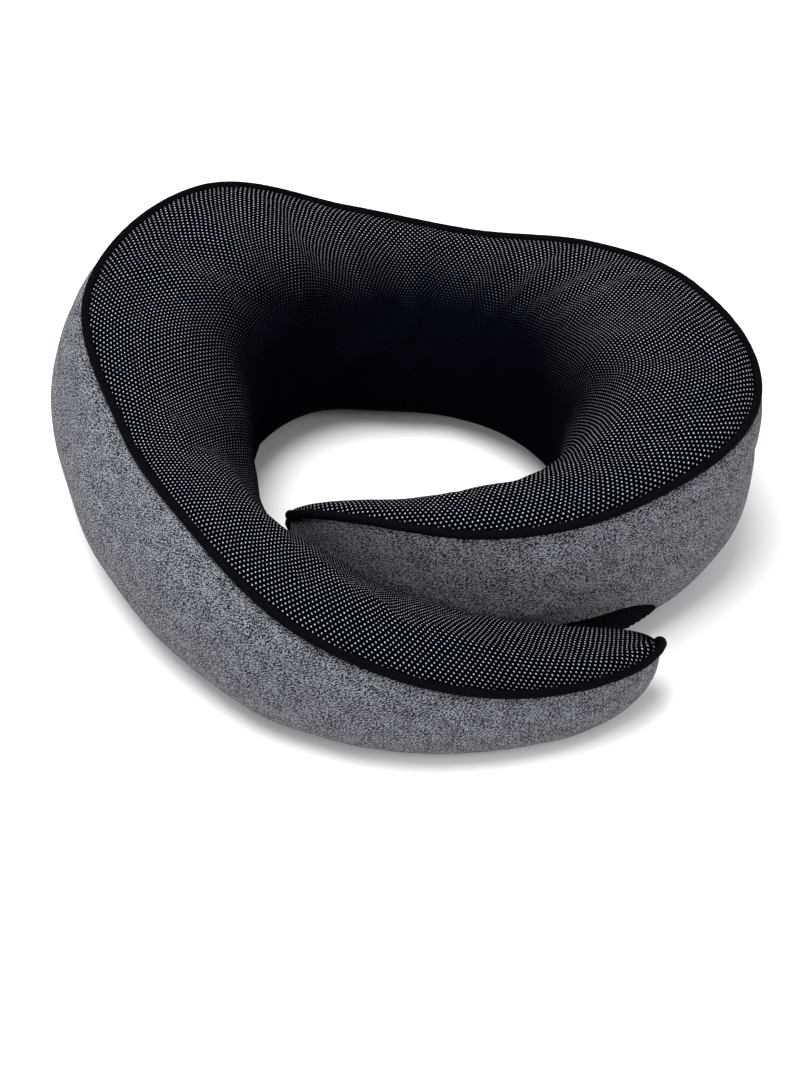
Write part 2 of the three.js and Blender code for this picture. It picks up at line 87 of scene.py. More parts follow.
TIP_WIDTH_LEFT = 0.15
TIP_HEIGHT_LEFT = 0.25
TIP_BLUNTNESS = 2.4
LOWER_SEAM = -140
TIP_FLATNESS = 0.55  # how much lower the neck side's crown lies at a tip
TIP_FLAT_OVER = 34
TIP_LIFT = 0.0032  # how far the top seam turns up at a tip
TIP_LIFT_OVER = 8

ZIP_HEIGHT = 0.030
ZIP_HALF_ANGLE = 29
ZIP_END_ANGLE = 31.2
ZIP_WINDOW = 0.018


class PillowSizes(bpy.types.PropertyGroup):
    """Sizes that a maker would change."""

    ring_step: FloatProperty(name="Ring step", description="Distance between the cover's rings",
                             default=0.0032, min=0.0015, max=0.01, unit="LENGTH")
    jersey_rows: IntProperty(name="Jersey rows", description="Quads across the jersey panel", default=52)
    mesh_rows: IntProperty(name="Mesh rows", description="Quads across the dotted panel", default=40)
    cover_thickness: FloatProperty(name="Cover", description="Thickness of the cover fabrics",
                                   default=0.0012, unit="LENGTH")
    seam_dip: FloatProperty(name="Seam dip", description="How far the fabric sinks along a seam",
                            default=0.0012, unit="LENGTH")
    seam_dip_width: FloatProperty(name="Seam dip width", description="How far from the seam it sinks",
                                  default=0.0032, unit="LENGTH")
    piping_radius: FloatProperty(name="Top piping", description="Radius of the top piping",
                                 default=0.00185, unit="LENGTH")
    lower_piping_radius: FloatProperty(name="Lower piping", description="Radius of the lower piping",
                                       default=0.0013, unit="LENGTH")
    dot_pitch: FloatProperty(name="Dot pitch", description="Distance between dots along a row",
                             default=0.0019, precision=4, unit="LENGTH")
    dot_row: FloatProperty(name="Dot rows", description="Distance between rows of dots",
                           default=0.00138, precision=5, unit="LENGTH")
    tooth_pitch: FloatProperty(name="Tooth pitch", description="Distance between the zip's coil turns",
                               default=0.0013, precision=4, unit="LENGTH")
    stitch_pitch: FloatProperty(name="Stitch pitch", description="Distance between stitches",
                                default=0.0032, precision=4, unit="LENGTH")


class PillowColours(bpy.types.PropertyGroup):
    """Colours of the fabrics and trim."""

    jersey_pale: FloatVectorProperty(name="Pale yarn", description="Pale fibres of the jersey",
                                     subtype="COLOR", size=3, default=(0.200, 0.208, 0.232))
    jersey_dark: FloatVectorProperty(name="Dark yarn", description="Dark fibres of the jersey",
                                     subtype="COLOR", size=3, default=(0.0028, 0.0036, 0.0100))
    net: FloatVectorProperty(name="Net", description="Ground of the dotted mesh",
                             subtype="COLOR", size=3, default=(0.0005, 0.0007, 0.0018))
    dot: FloatVectorProperty(name="Dots", description="Pale dots of the mesh",
                             subtype="COLOR", size=3, default=(0.50, 0.51, 0.53))
    trim: FloatVectorProperty(name="Trim", description="Piping and tape",
                              subtype="COLOR", size=3, default=(0.0010, 0.0011, 0.0018))
    foam: FloatVectorProperty(name="Foam", description="Foam core",
                              subtype="COLOR", size=3, default=(0.74, 0.66, 0.47))
    liner: FloatVectorProperty(name="Liner", description="Knitted liner",
                               subtype="COLOR", size=3, default=(0.72, 0.72, 0.69))
    enamel: FloatVectorProperty(name="Slider", description="Enamel of the zip's metal parts",
                                subtype="COLOR", size=3, default=(0.012, 0.012, 0.013))


def sizes():
    return bpy.context.scene.neck_pillow_sizes


def colours():
    return bpy.context.scene.neck_pillow_colours


# ---- Form ----


def station_values(angles):
    """Smooth curves through the stations' columns, one row for each angle."""
    at = STATIONS[:, 0]
    last = len(at) - 1
    low = np.clip(np.searchsorted(at, angles) - 1, 0, last - 1)
    before = np.maximum(low - 1, 0)
    after = np.minimum(low + 2, last)
    a, b, p, q = STATIONS[low], STATIONS[low + 1], STATIONS[before], STATIONS[after]
    span = (b[:, 0] - a[:, 0])[:, None]
    slope_a = (b - p) / (b[:, 0] - p[:, 0])[:, None] * span
    slope_b = (q - a) / (q[:, 0] - a[:, 0])[:, None] * span
    t = (angles - a[:, 0])[:, None] / span
    ease = 3 * t**2 - 2 * t**3
    return a * (1 - ease) + b * ease + t * (1 - t) * ((1 - t) * slope_a - t * slope_b)


def form_at(angles):
    """The section's sizes at each angle, with the tips tapered shut."""
    angles = np.asarray(angles, float)
    v = station_values(angles)
    to_tip = np.minimum(LEFT_TIP - angles, angles - RIGHT_TIP)
    close = np.clip(1 - to_tip / TIP_TAPER, 0, 1)
    cap = np.sqrt(1 - close**TIP_BLUNTNESS)
    return {
        "middle": v[:, 1],
        "half_width": v[:, 2] * (TIP_WIDTH_LEFT + (1 - TIP_WIDTH_LEFT) * cap),
        "centre": v[:, 6] + v[:, 3],
        "reach": (v[:, 3] + FLOOR_SINK * cap) * (TIP_HEIGHT_LEFT + (1 - TIP_HEIGHT_LEFT) * cap),
        "seam": v[:, 4],
        "rise": v[:, 5] * cap,
        "lift": TIP_LIFT * (1 - smoothstep(0, TIP_LIFT_OVER, to_tip)),
        "flat": TIP_FLATNESS * (1 - smoothstep(2, TIP_FLAT_OVER, to_tip)),
    }


def section_points(form, directions):
    """Radius and height of the section for each angle's row of directions."""
    turn = np.radians(directions)
    c, s = np.cos(turn), np.sin(turn)
    power = 2 / ROUNDNESS
    off = (directions - form["seam"][:, None] + 180) % 360 - 180
    bump = form["rise"][:, None] * np.exp(-((off / SEAM_RISE_SPREAD) ** 2))
    seam = np.radians(form["seam"])[:, None]
    across = form["half_width"][:, None] * np.sign(c) * np.abs(c) ** power
    up = form["reach"][:, None] * np.sign(s) * np.abs(s) ** power
    radius = form["middle"][:, None] + across + bump * np.cos(seam)
    beyond = smoothstep(0, 55, off) * (s > 0)
    seam_height = form["reach"] * np.abs(np.sin(seam[:, 0])) ** power
    above = np.maximum(up - 0.6 * seam_height[:, None], 0)
    height = form["centre"][:, None] + up + bump * np.sin(seam) - above * beyond * form["flat"][:, None]
    height = height + form["lift"][:, None] * np.exp(-((off / 45) ** 2))
    return radius, np.maximum(height, 0)


def place(angles, radius, height):
    """Points in the frame from angle, radius and height."""
    turn = np.radians(angles)
    while turn.ndim < np.ndim(radius):
        turn = turn[..., None]
    x = POLE[0] - radius * np.sin(turn)
    y = POLE[1] + radius * np.cos(turn)
    return np.stack([x, y, height], -1)


def ring_angles(tip):
    """Angles of the rings from the middle of the back to a tip, evenly spaced along the pillow."""
    side = np.sign(tip)
    fine = np.linspace(0, abs(tip), 600) * side
    form = form_at(fine)
    line = place(fine, form["middle"], form["centre"])
    along = np.r_[0, np.cumsum(np.linalg.norm(np.diff(line, axis=0), axis=1))]
    zip_end = np.interp(ZIP_END_ANGLE, np.abs(fine), along)
    step = sizes().ring_step
    near = np.linspace(0, zip_end, max(2, round(zip_end / step)) + 1)
    rest = np.linspace(zip_end, along[-1], round((along[-1] - zip_end) / step) + 1)
    steps = np.r_[near, rest[1:]]
    close = along[-1] - np.array([0.0016, 0.0008])
    steps = np.sort(np.r_[steps[steps < along[-1] - 0.0026], close, along[-1]])
    return np.interp(steps, along, np.abs(fine)) * side, steps


def panel(angles, start, end, rows, knots=None):
    """Radius and height for rows + 1 evenly spaced points between two directions of each section."""
    form = form_at(angles)
    share = np.linspace(0, 1, 200)
    first = start(form)[:, None]
    last = end(form)[:, None]
    radius, height = section_points(form, first + (last - first) * share)
    out_r = np.empty((len(angles), rows + 1))
    out_h = np.empty_like(out_r)
    for i in range(len(angles)):
        gaps = np.hypot(np.diff(radius[i]), np.diff(height[i]))
        along = np.r_[0, np.cumsum(gaps)]
        wanted = np.linspace(0, 1, rows + 1)
        if knots is not None:
            wanted = knots(angles[i], radius[i], height[i], along / along[-1], wanted)
        out_r[i] = np.interp(wanted * along[-1], along, radius[i])
        out_h[i] = np.interp(wanted * along[-1], along, height[i])
    return out_r, out_h


def grid_normals(points, outward):
    """Unit normals of a grid of points, turned to the same side as outward."""
    across = np.gradient(points, axis=1)
    along = np.gradient(points, axis=0)
    normal = np.cross(along, across)
    normal /= np.maximum(np.linalg.norm(normal, axis=-1, keepdims=True), 1e-12)
    return normal * np.sign((normal * outward).sum(-1, keepdims=True) + 1e-12)


def smoothstep(low, high, value):
    t = np.clip((value - low) / (high - low), 0, 1)
    return t * t * (3 - 2 * t)


# ---- Meshes and objects ----


def new_object(name, points, faces, material, uvs=None, smooth=True):
    """A mesh object at the origin, with its place in its mesh. uvs holds one pair for each face corner."""
    mesh = bpy.data.meshes.new(name)
    mesh.from_pydata([tuple(p) for p in points], [], [tuple(f) for f in faces])
    if uvs is not None:
        layer = mesh.uv_layers.new(name="UVMap")
        layer.data.foreach_set("uv", np.asarray(uvs, float).ravel())
    mesh.polygons.foreach_set("use_smooth", [smooth] * len(mesh.polygons))
    mesh.materials.append(material)
    mesh.validate()
    mesh.update()
    obj = bpy.data.objects.new(name, mesh)
    bpy.context.scene.collection.objects.link(obj)
    return obj


def grid_faces(rings, across, skip=None, flip=False):
    faces = []
    for i in range(rings - 1):
        for j in range(across - 1):
            if skip is not None and skip(i, j):
                continue
            a = i * across + j
            quad = (a, a + 1, a + across + 1, a + across)
            faces.append(quad[::-1] if flip else quad)
    return faces


def face_uvs(faces, uv):
    return [uv[v] for f in faces for v in f]


def faces_point_out(points, faces, outward):
    """Whether the first full face of a grid points the way outward says at its first vertex."""
    f = faces[len(faces) // 2]
    a, b, c = (np.asarray(points[i]) for i in f[:3])
    return float(np.dot(np.cross(b - a, c - a), outward[f[0]])) > 0


def apply_modifiers(obj):
    """The evaluated object as a plain mesh, with its modifiers removed."""
    graph = bpy.context.evaluated_depsgraph_get()
    mesh = bpy.data.meshes.new_from_object(obj.evaluated_get(graph))
    obj.modifiers.clear()
    old = obj.data
    obj.data = mesh
    mesh.name = old.name
    bpy.data.meshes.remove(old)
    return obj


def finish_shell(obj, thickness, levels=1):
    """Turns a single surface into a closed shell that lies inside it, one subdivision finer."""
    if levels:
        sub = obj.modifiers.new("Finer", "SUBSURF")
        sub.levels = sub.render_levels = levels
        sub.boundary_smooth = "PRESERVE_CORNERS"
    solid = obj.modifiers.new("Thickness", "SOLIDIFY")
    solid.thickness = thickness
    solid.offset = -1
    apply_modifiers(obj)
    obj.data.set_sharp_from_angle(angle=math.radians(62))
    return obj


def settle(obj, replaced):
    """Bakes a soft piece's place into its mesh, and hides the frame parts that it replaces."""
    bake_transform(obj)
    if replaced:
        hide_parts(*replaced)
    return obj


def tube(name, path, radii, material, sides=12, rest=(0, 0, 1)):
    """A closed tube along points, with a radius at each and a UV map in metres."""
    path = np.asarray(path, float)
    count = len(path)
    radii = np.broadcast_to(radii, count)
    tangent = np.gradient(path, axis=0)
    tangent /= np.linalg.norm(tangent, axis=1, keepdims=True)
    side = np.cross(tangent[0], rest)
    side /= np.linalg.norm(side)
    points = []
    for i in range(count):
        side = side - tangent[i] * np.dot(side, tangent[i])
        side /= np.linalg.norm(side)
        other = np.cross(tangent[i], side)
        turn = np.linspace(0, 2 * math.pi, sides, endpoint=False)
        ring = np.cos(turn)[:, None] * side + np.sin(turn)[:, None] * other
        points.extend(path[i] + ring * radii[i])
    along = np.r_[0, np.cumsum(np.linalg.norm(np.diff(path, axis=0), axis=1))]
    round_ = 2 * math.pi * float(np.mean(radii))
    faces, uvs = [], []
    for i in range(count - 1):
        for k in range(sides):
            n = (k + 1) % sides
            faces.append((i * sides + k, i * sides + n, (i + 1) * sides + n, (i + 1) * sides + k))
            v0, v1 = k / sides * round_, (k + 1) / sides * round_
            uvs += [(along[i], v0), (along[i], v1), (along[i + 1], v1), (along[i + 1], v0)]
    for end, i in ((0, 0), (1, count - 1)):
        points.append(path[i])
        hub = len(points) - 1
        for k in range(sides):
            n = (k + 1) % sides
            pair = (i * sides + n, i * sides + k) if end == 0 else (i * sides + k, i * sides + n)
            faces.append((hub, *pair))
            uvs += [(along[i], 0)] * 3
    return new_object(name, points, faces, material, uvs)


# ---- Materials ----


def build_group(name, inputs, outputs, fill):
    """A shader node group with named sockets, made once."""
    group = bpy.data.node_groups.get(name)
    if group:
        return group
    group = bpy.data.node_groups.new(name, "ShaderNodeTree")
    for label, kind, default in inputs:
        socket = group.interface.new_socket(label, in_out="INPUT", socket_type=kind)
        if default is not None:
            socket.default_value = default
    for label, kind in outputs:
        group.interface.new_socket(label, in_out="OUTPUT", socket_type=kind)
    entry = group.nodes.new("NodeGroupInput")
    exit_ = group.nodes.new("NodeGroupOutput")
    fill(group, entry, exit_)
    return group


class Wires:
    """Short calls that add and join nodes in one tree."""

    def __init__(self, tree):
        self.tree = tree

    def node(self, kind, **values):
        node = self.tree.nodes.new(kind)
        for key, value in values.items():
            setattr(node, key, value)
        return node

    def link(self, source, target):
        self.tree.links.new(source, target)

    def _feed(self, socket, value):
        if isinstance(value, bpy.types.NodeSocket):
            self.link(value, socket)
        else:
            socket.default_value = value

    def math(self, operation, a, b=0.0, c=0.0):
        node = self.node("ShaderNodeMath", operation=operation)
        for socket, value in zip(node.inputs, (a, b, c)):
            self._feed(socket, value)
        return node.outputs[0]

    def smooth(self, value, low, high, to_low=0.0, to_high=1.0):
        node = self.node("ShaderNodeMapRange", interpolation_type="SMOOTHSTEP")
        for socket, given in zip(node.inputs, (value, low, high, to_low, to_high)):
            self._feed(socket, given)
        return node.outputs[0]

    def mix(self, factor, a, b, blend="MIX"):
        node = self.node("ShaderNodeMix", data_type="RGBA", blend_type=blend)
        self._feed(node.inputs[0], factor)
        self._feed(node.inputs[6], a)
        self._feed(node.inputs[7], b)
        return node.outputs[2]

    def noise(self, vector, scale, detail=2.0, rough=0.5, out="Fac"):
        node = self.node("ShaderNodeTexNoise")
        self.link(vector, node.inputs["Vector"])
        node.inputs["Scale"].default_value = scale
        node.inputs["Detail"].default_value = detail
        node.inputs["Roughness"].default_value = rough
        return node.outputs[out]

    def stretch(self, vector, factors):
        node = self.node("ShaderNodeVectorMath", operation="MULTIPLY")
        self.link(vector, node.inputs[0])
        node.inputs[1].default_value = factors
        return node.outputs[0]

    def split(self, vector):
        node = self.node("ShaderNodeSeparateXYZ")
        self.link(vector, node.inputs[0])
        return node.outputs

    def bump(self, height, strength, distance):
        node = self.node("ShaderNodeBump")
        node.inputs["Strength"].default_value = strength
        node.inputs["Distance"].default_value = distance
        self.link(height, node.inputs["Height"])
        return node.outputs[0]


def new_material(name, roughness, metallic=0.0, **constants):
    """A material with its Principled BSDF, whose constants are set on its own sockets."""
    material = bpy.data.materials.new(name)
    material.use_nodes = True
    bsdf = material.node_tree.nodes["Principled BSDF"]
    bsdf.inputs["Roughness"].default_value = roughness
    bsdf.inputs["Metallic"].default_value = metallic
    for key, value in constants.items():
        label = key.replace("_", " ").title().replace("Ior", "IOR")
        bsdf.inputs[label].default_value = value
    return material, bsdf, Wires(material.node_tree)


def rgba(colour, gain=1.0):
    return (colour[0] * gain, colour[1] * gain, colour[2] * gain, 1.0)


def staggered_dots_group():
    """Round dots on staggered rows of a map in metres, with a value of its own for each dot."""

    def fill(group, entry, exit_):
        w = Wires(group)
        u, v, _ = w.split(entry.outputs["Map"])
        row_size, pitch = entry.outputs["Row"], entry.outputs["Pitch"]
        row_at = w.math("DIVIDE", v, row_size)
        row = w.math("FLOOR", row_at)
        odd = w.math("MULTIPLY", w.math("MODULO", w.math("ABSOLUTE", row), 2.0), 0.5)
        cell_at = w.math("ADD", w.math("DIVIDE", u, pitch), odd)
        cell = w.math("FLOOR", cell_at)
        x = w.math("MULTIPLY", w.math("SUBTRACT", w.math("FRACT", cell_at), 0.5), pitch)
        y = w.math("MULTIPLY", w.math("SUBTRACT", w.math("FRACT", row_at), 0.5), row_size)
        far = w.math("SQRT", w.math("ADD", w.math("MULTIPLY", x, x), w.math("MULTIPLY", y, y)))
        size = entry.outputs["Dot"]
        w.link(w.smooth(far, size, w.math("MULTIPLY", size, 0.45)), exit_.inputs["Dot"])
        w.link(w.smooth(far, w.math("MULTIPLY", size, 1.9), size), exit_.inputs["Halo"])
        joined = w.node("ShaderNodeCombineXYZ")
        w.link(cell, joined.inputs[0])
        w.link(row, joined.inputs[1])
        own = w.node("ShaderNodeTexWhiteNoise", noise_dimensions="2D")
        w.link(joined.outputs[0], own.inputs["Vector"])
        w.link(own.outputs["Value"], exit_.inputs["Own"])

    return build_group(
        "staggered dots",
        [("Map", "NodeSocketVector", None), ("Pitch", "NodeSocketFloat", 0.0019),
         ("Row", "NodeSocketFloat", 0.0014), ("Dot", "NodeSocketFloat", 0.0005)],
        [("Dot", "NodeSocketFloat"), ("Halo", "NodeSocketFloat"), ("Own", "NodeSocketFloat")],
        fill,
    )


def knit_group():
    """Columns of knit loops on a map in metres: a height from 0 to 1."""

    def fill(group, entry, exit_):
        w = Wires(group)
        u, v, _ = w.split(entry.outputs["Map"])
        wale, course = entry.outputs["Wale"], entry.outputs["Course"]
        x = w.math("SUBTRACT", w.math("FRACT", w.math("DIVIDE", u, wale)), 0.5)
        lean = w.math("MULTIPLY", w.math("ABSOLUTE", x), 0.9)
        y = w.math("FRACT", w.math("ADD", w.math("DIVIDE", v, course), lean))
        leg = w.math("SINE", w.math("MULTIPLY", w.math("ABSOLUTE", x), 2 * math.pi))
        loop = w.math("SINE", w.math("MULTIPLY", y, math.pi))
        w.link(w.math("MULTIPLY", leg, loop), exit_.inputs["Height"])

    return build_group(
        "knit loops",
        [("Map", "NodeSocketVector", None), ("Wale", "NodeSocketFloat", 0.001),
         ("Course", "NodeSocketFloat", 0.0008)],
        [("Height", "NodeSocketFloat")],
        fill,
    )


def rib_group():
    """Slanting woven ribs on a map in metres: a height from 0 to 1."""

    def fill(group, entry, exit_):
        w = Wires(group)
        u, v, _ = w.split(entry.outputs["Map"])
        pitch = entry.outputs["Pitch"]
        slant = w.math("ADD", u, w.math("MULTIPLY", v, entry.outputs["Slant"]))
        wave = w.math("SINE", w.math("MULTIPLY", w.math("DIVIDE", slant, pitch), 2 * math.pi))
        cross = w.math("SINE", w.math("MULTIPLY", w.math("DIVIDE", v, pitch), 2 * math.pi))
        both = w.math("ADD", w.math("MULTIPLY", wave, 0.35), w.math("MULTIPLY", cross, 0.15))
        w.link(w.math("ADD", both, 0.5), exit_.inputs["Height"])

    return build_group(
        "woven ribs",
        [("Map", "NodeSocketVector", None), ("Pitch", "NodeSocketFloat", 0.0006),
         ("Slant", "NodeSocketFloat", 1.0)],
        [("Height", "NodeSocketFloat")],
        fill,
    )


def placed_group(w, group, vector, **values):
    node = w.node("ShaderNodeGroup", node_tree=group)
    w.link(vector, node.inputs["Map"])
    for key, value in values.items():
        node.inputs[key.title()].default_value = value
    return node.outputs


def jersey_material():
    """Heather jersey: pale and dark fibres, larger clouds, and knit loops."""
    material, bsdf, w = new_material("heather jersey", 0.92, sheen_weight=0.04, sheen_roughness=0.6,
                                     specular_ior_level=0.08)
    uv = w.node("ShaderNodeUVMap", uv_map="UVMap").outputs[0]
    slanted = w.node("ShaderNodeMapping")
    w.link(uv, slanted.inputs["Vector"])
    slanted.inputs["Rotation"].default_value = (0.0, 0.0, math.radians(38))
    fibre = w.noise(w.stretch(uv, (1.0, 1.2, 1.0)), 1600.0, 1.0, 0.6)
    streak = w.noise(w.stretch(slanted.outputs[0], (0.5, 1.5, 1.0)), 1300.0, 1.0, 0.6)
    cloud = w.noise(uv, 150.0, 3.0, 0.65)
    grain = w.math("ADD", w.math("MULTIPLY", fibre, 0.6), w.math("MULTIPLY", streak, 0.4))
    grain = w.math("ADD", grain, w.math("MULTIPLY", w.math("SUBTRACT", cloud, 0.5), 0.16))
    share = w.smooth(grain, 0.470, 0.553)
    c = colours()
    w.link(w.mix(share, rgba(c.jersey_dark), rgba(c.jersey_pale)), bsdf.inputs["Base Color"])
    knit = placed_group(w, knit_group(), uv, wale=0.00115, course=0.0009)["Height"]
    height = w.math("ADD", w.math("MULTIPLY", knit, 0.55), w.math("MULTIPLY", fibre, 0.75))
    w.link(w.bump(height, 0.6, 0.0003), bsdf.inputs["Normal"])
    w.link(w.smooth(fibre, 0.2, 0.8, 0.98, 0.82), bsdf.inputs["Roughness"])
    return material


def mesh_material():
    """Black knitted net with raised pale dots on staggered rows."""
    s, c = sizes(), colours()
    material, bsdf, w = new_material("dotted mesh", 0.9, specular_ior_level=0.0)
    uv = w.node("ShaderNodeUVMap", uv_map="UVMap").outputs[0]
    wander = w.noise(uv, 60.0, 2.0, 0.5, out="Color")
    shift = w.node("ShaderNodeVectorMath", operation="SCALE")
    w.link(wander, shift.inputs[0])
    shift.inputs["Scale"].default_value = 0.0012
    moved = w.node("ShaderNodeVectorMath", operation="ADD")
    w.link(uv, moved.inputs[0])
    w.link(shift.outputs[0], moved.inputs[1])
    dots = placed_group(w, staggered_dots_group(), moved.outputs[0], pitch=s.dot_pitch, row=s.dot_row,
                        dot=0.00034)
    strand = w.noise(w.stretch(uv, (1.0, 2.0, 1.0)), 1500.0, 2.0, 0.7)
    own = w.smooth(dots["Own"], 0.0, 1.0, 0.62, 1.0)
    # The stretch attribute also holds painted shade near the middle of the back, which dims the dots there.
    stretch_and_painted_shade = w.node("ShaderNodeAttribute", attribute_name="stretch").outputs["Fac"]
    stretch_and_painted_shade = w.smooth(stretch_and_painted_shade, 0.62, 1.02, 0.012, 1.0)
    shade = w.math("MULTIPLY", w.math("MULTIPLY", dots["Dot"], own), w.smooth(strand, 0.2, 0.7, 0.6, 1.0))
    shade = w.math("MULTIPLY", shade, stretch_and_painted_shade)
    ground = w.mix(w.smooth(strand, 0.35, 0.75), rgba(c.net), rgba(c.net, 2.2))
    w.link(w.mix(shade, ground, rgba(c.dot)), bsdf.inputs["Base Color"])
    height = w.math("ADD", w.math("MULTIPLY", dots["Dot"], 0.5), w.math("MULTIPLY", dots["Halo"], 0.3))
    height = w.math("ADD", height, w.math("MULTIPLY", strand, 0.3))
    w.link(w.bump(height, 0.55, 0.0003), bsdf.inputs["Normal"])
    w.link(w.smooth(dots["Dot"], 0.0, 1.0, 0.88, 0.7), bsdf.inputs["Roughness"])
    return material


def woven_material(name, colour, pitch, slant, roughness=0.8, gain=2.5):
    """Plain woven tape or bias binding."""
    material, bsdf, w = new_material(name, roughness, specular_ior_level=0.02)
    uv = w.node("ShaderNodeUVMap", uv_map="UVMap").outputs[0]
    rib = placed_group(w, rib_group(), uv, pitch=pitch, slant=slant)["Height"]
    lint = w.noise(uv, 700.0, 3.0, 0.7)
    # Painted highlight and shade: the ribs' crests are lighter and the grooves between them darker, with random
    # lint on top.
    share = w.math("MULTIPLY", rib, w.smooth(lint, 0.3, 0.75))
    w.link(w.mix(share, rgba(colour), rgba(colour, gain)), bsdf.inputs["Base Color"])
    height = w.math("ADD", w.math("MULTIPLY", rib, 0.7), w.math("MULTIPLY", lint, 0.4))
    w.link(w.bump(height, 0.5, 0.0002), bsdf.inputs["Normal"])
    w.link(w.smooth(lint, 0.2, 0.8, roughness + 0.1, roughness - 0.1), bsdf.inputs["Roughness"])
    return material


def thread_material():
    """Black sewing thread, a little fuzzy."""
    material, bsdf, w = new_material("stitching", 0.7, specular_ior_level=0.05)
    at = w.node("ShaderNodeTexCoord").outputs["Object"]
    fuzz = w.noise(at, 2600.0, 3.0, 0.7)
    c = colours()
    share = w.smooth(fuzz, 0.35, 0.7)
    w.link(w.mix(share, rgba(c.trim), rgba(c.trim, 5.0)), bsdf.inputs["Base Color"])
    w.link(w.bump(fuzz, 0.4, 0.0001), bsdf.inputs["Normal"])
    w.link(w.smooth(fuzz, 0.2, 0.8, 0.8, 0.6), bsdf.inputs["Roughness"])
    return material


def foam_material():
    """Slow-recovery foam: fine open cells."""
    material, bsdf, w = new_material("foam", 0.95, subsurface_weight=0.1)
    at = w.node("ShaderNodeTexCoord").outputs["Object"]
    cells = w.node("ShaderNodeTexVoronoi")
    w.link(at, cells.inputs["Vector"])
    cells.inputs["Scale"].default_value = 900.0
    cloud = w.noise(at, 40.0, 3.0, 0.6)
    c = colours()
    # Painted shade: the cells' hollows, which the bump sinks, are darker than their walls.
    shade = w.math("MULTIPLY", w.smooth(cells.outputs["Distance"], 0.0, 0.6, 0.55, 1.0),
                   w.smooth(cloud, 0.3, 0.7, 0.85, 1.0))
    w.link(w.mix(shade, rgba(c.foam, 0.55), rgba(c.foam)), bsdf.inputs["Base Color"])
    w.link(w.bump(cells.outputs["Distance"], 0.5, 0.0005), bsdf.inputs["Normal"])
    w.link(w.smooth(cloud, 0.2, 0.8, 0.9, 1.0), bsdf.inputs["Roughness"])
    return material


def liner_material():
    """Thin pale knit."""
    material, bsdf, w = new_material("liner knit", 0.9)
    uv = w.node("ShaderNodeUVMap", uv_map="UVMap").outputs[0]
    knit = placed_group(w, knit_group(), uv, wale=0.0016, course=0.0012)["Height"]
    lint = w.noise(uv, 600.0, 3.0, 0.7)
    c = colours()
    # Painted shade: darker between the knit loops, where the bump sinks, with random lint on top.
    share = w.math("MULTIPLY", w.smooth(knit, 0.0, 0.8, 0.4, 1.0), w.smooth(lint, 0.2, 0.8, 0.7, 1.0))
    w.link(w.mix(share, rgba(c.liner, 0.45), rgba(c.liner)), bsdf.inputs["Base Color"])
    w.link(w.bump(knit, 0.5, 0.0003), bsdf.inputs["Normal"])
    w.link(w.smooth(lint, 0.2, 0.8, 0.98, 0.85), bsdf.inputs["Roughness"])
    return material


def enamel_material():
    """Dark enamelled zinc with rubbed spots."""
    material, bsdf, w = new_material("dark enamel", 0.35, 0.85, coat_weight=0.3, coat_roughness=0.2)
    at = w.node("ShaderNodeTexCoord").outputs["Object"]
    rub = w.smooth(w.noise(at, 420.0, 4.0, 0.65), 0.52, 0.75)
    c = colours()
    w.link(w.mix(rub, rgba(c.enamel), rgba(c.enamel, 7.0)), bsdf.inputs["Base Color"])
    w.link(w.smooth(rub, 0.0, 1.0, 0.3, 0.5), bsdf.inputs["Roughness"])
    w.link(w.bump(w.noise(at, 1800.0, 2.0, 0.6), 0.15, 0.0001), bsdf.inputs["Normal"])
    return material


def nylon_material():
    """Black nylon monofilament."""
    material, bsdf, w = new_material("nylon coil", 0.38, specular_ior_level=0.5)
    at = w.node("ShaderNodeTexCoord").outputs["Object"]
    dust = w.noise(at, 900.0, 3.0, 0.6)
    c = colours()
    w.link(w.mix(w.smooth(dust, 0.5, 0.8), rgba(c.trim, 1.6), rgba(c.trim, 5.0)), bsdf.inputs["Base Color"])
    w.link(w.smooth(dust, 0.3, 0.8, 0.32, 0.55), bsdf.inputs["Roughness"])
    return material


def pile_material():
    """Black brushed loops of the fastening patches."""
    material, bsdf, w = new_material("black pile", 0.95, specular_ior_level=0.02)
    at = w.node("ShaderNodeTexCoord").outputs["Object"]
    pile = w.noise(at, 1400.0, 3.0, 0.75)
    clump = w.noise(at, 260.0, 2.0, 0.6)
    c = colours()
    share = w.math("MULTIPLY", w.smooth(pile, 0.4, 0.75), w.smooth(clump, 0.3, 0.7, 0.5, 1.0))
    w.link(w.mix(share, rgba(c.trim, 0.6), rgba(c.trim, 3.0)), bsdf.inputs["Base Color"])
    w.link(w.bump(w.math("ADD", pile, clump), 0.8, 0.0005), bsdf.inputs["Normal"])
    w.link(w.smooth(clump, 0.2, 0.8, 1.0, 0.85), bsdf.inputs["Roughness"])
    return material


def material(name):
    """A finished material by name, made once."""
    makers = {
        "heather jersey": jersey_material,
        "dotted mesh": mesh_material,
        "black piping": lambda: woven_material("black piping", colours().trim, 0.00055, 1.0, 0.82),
        "zip tape": lambda: woven_material("zip tape", colours().trim, 0.0007, 0.0, 0.85, 3.0),
        "stitching": thread_material,
        "foam": foam_material,
        "liner knit": liner_material,
        "dark enamel": enamel_material,
        "nylon coil": nylon_material,
        "black pile": pile_material,
    }
    return bpy.data.materials.get(name) or makers[name]()


# ---- Layers ----

ARMS = {"left_arm": LEFT_TIP, "right_arm": RIGHT_TIP}


def cover_nodes(kind, arm, with_back):
    return [f"{kind}_{arm}"] + ([f"{kind}_back"] if with_back else [])


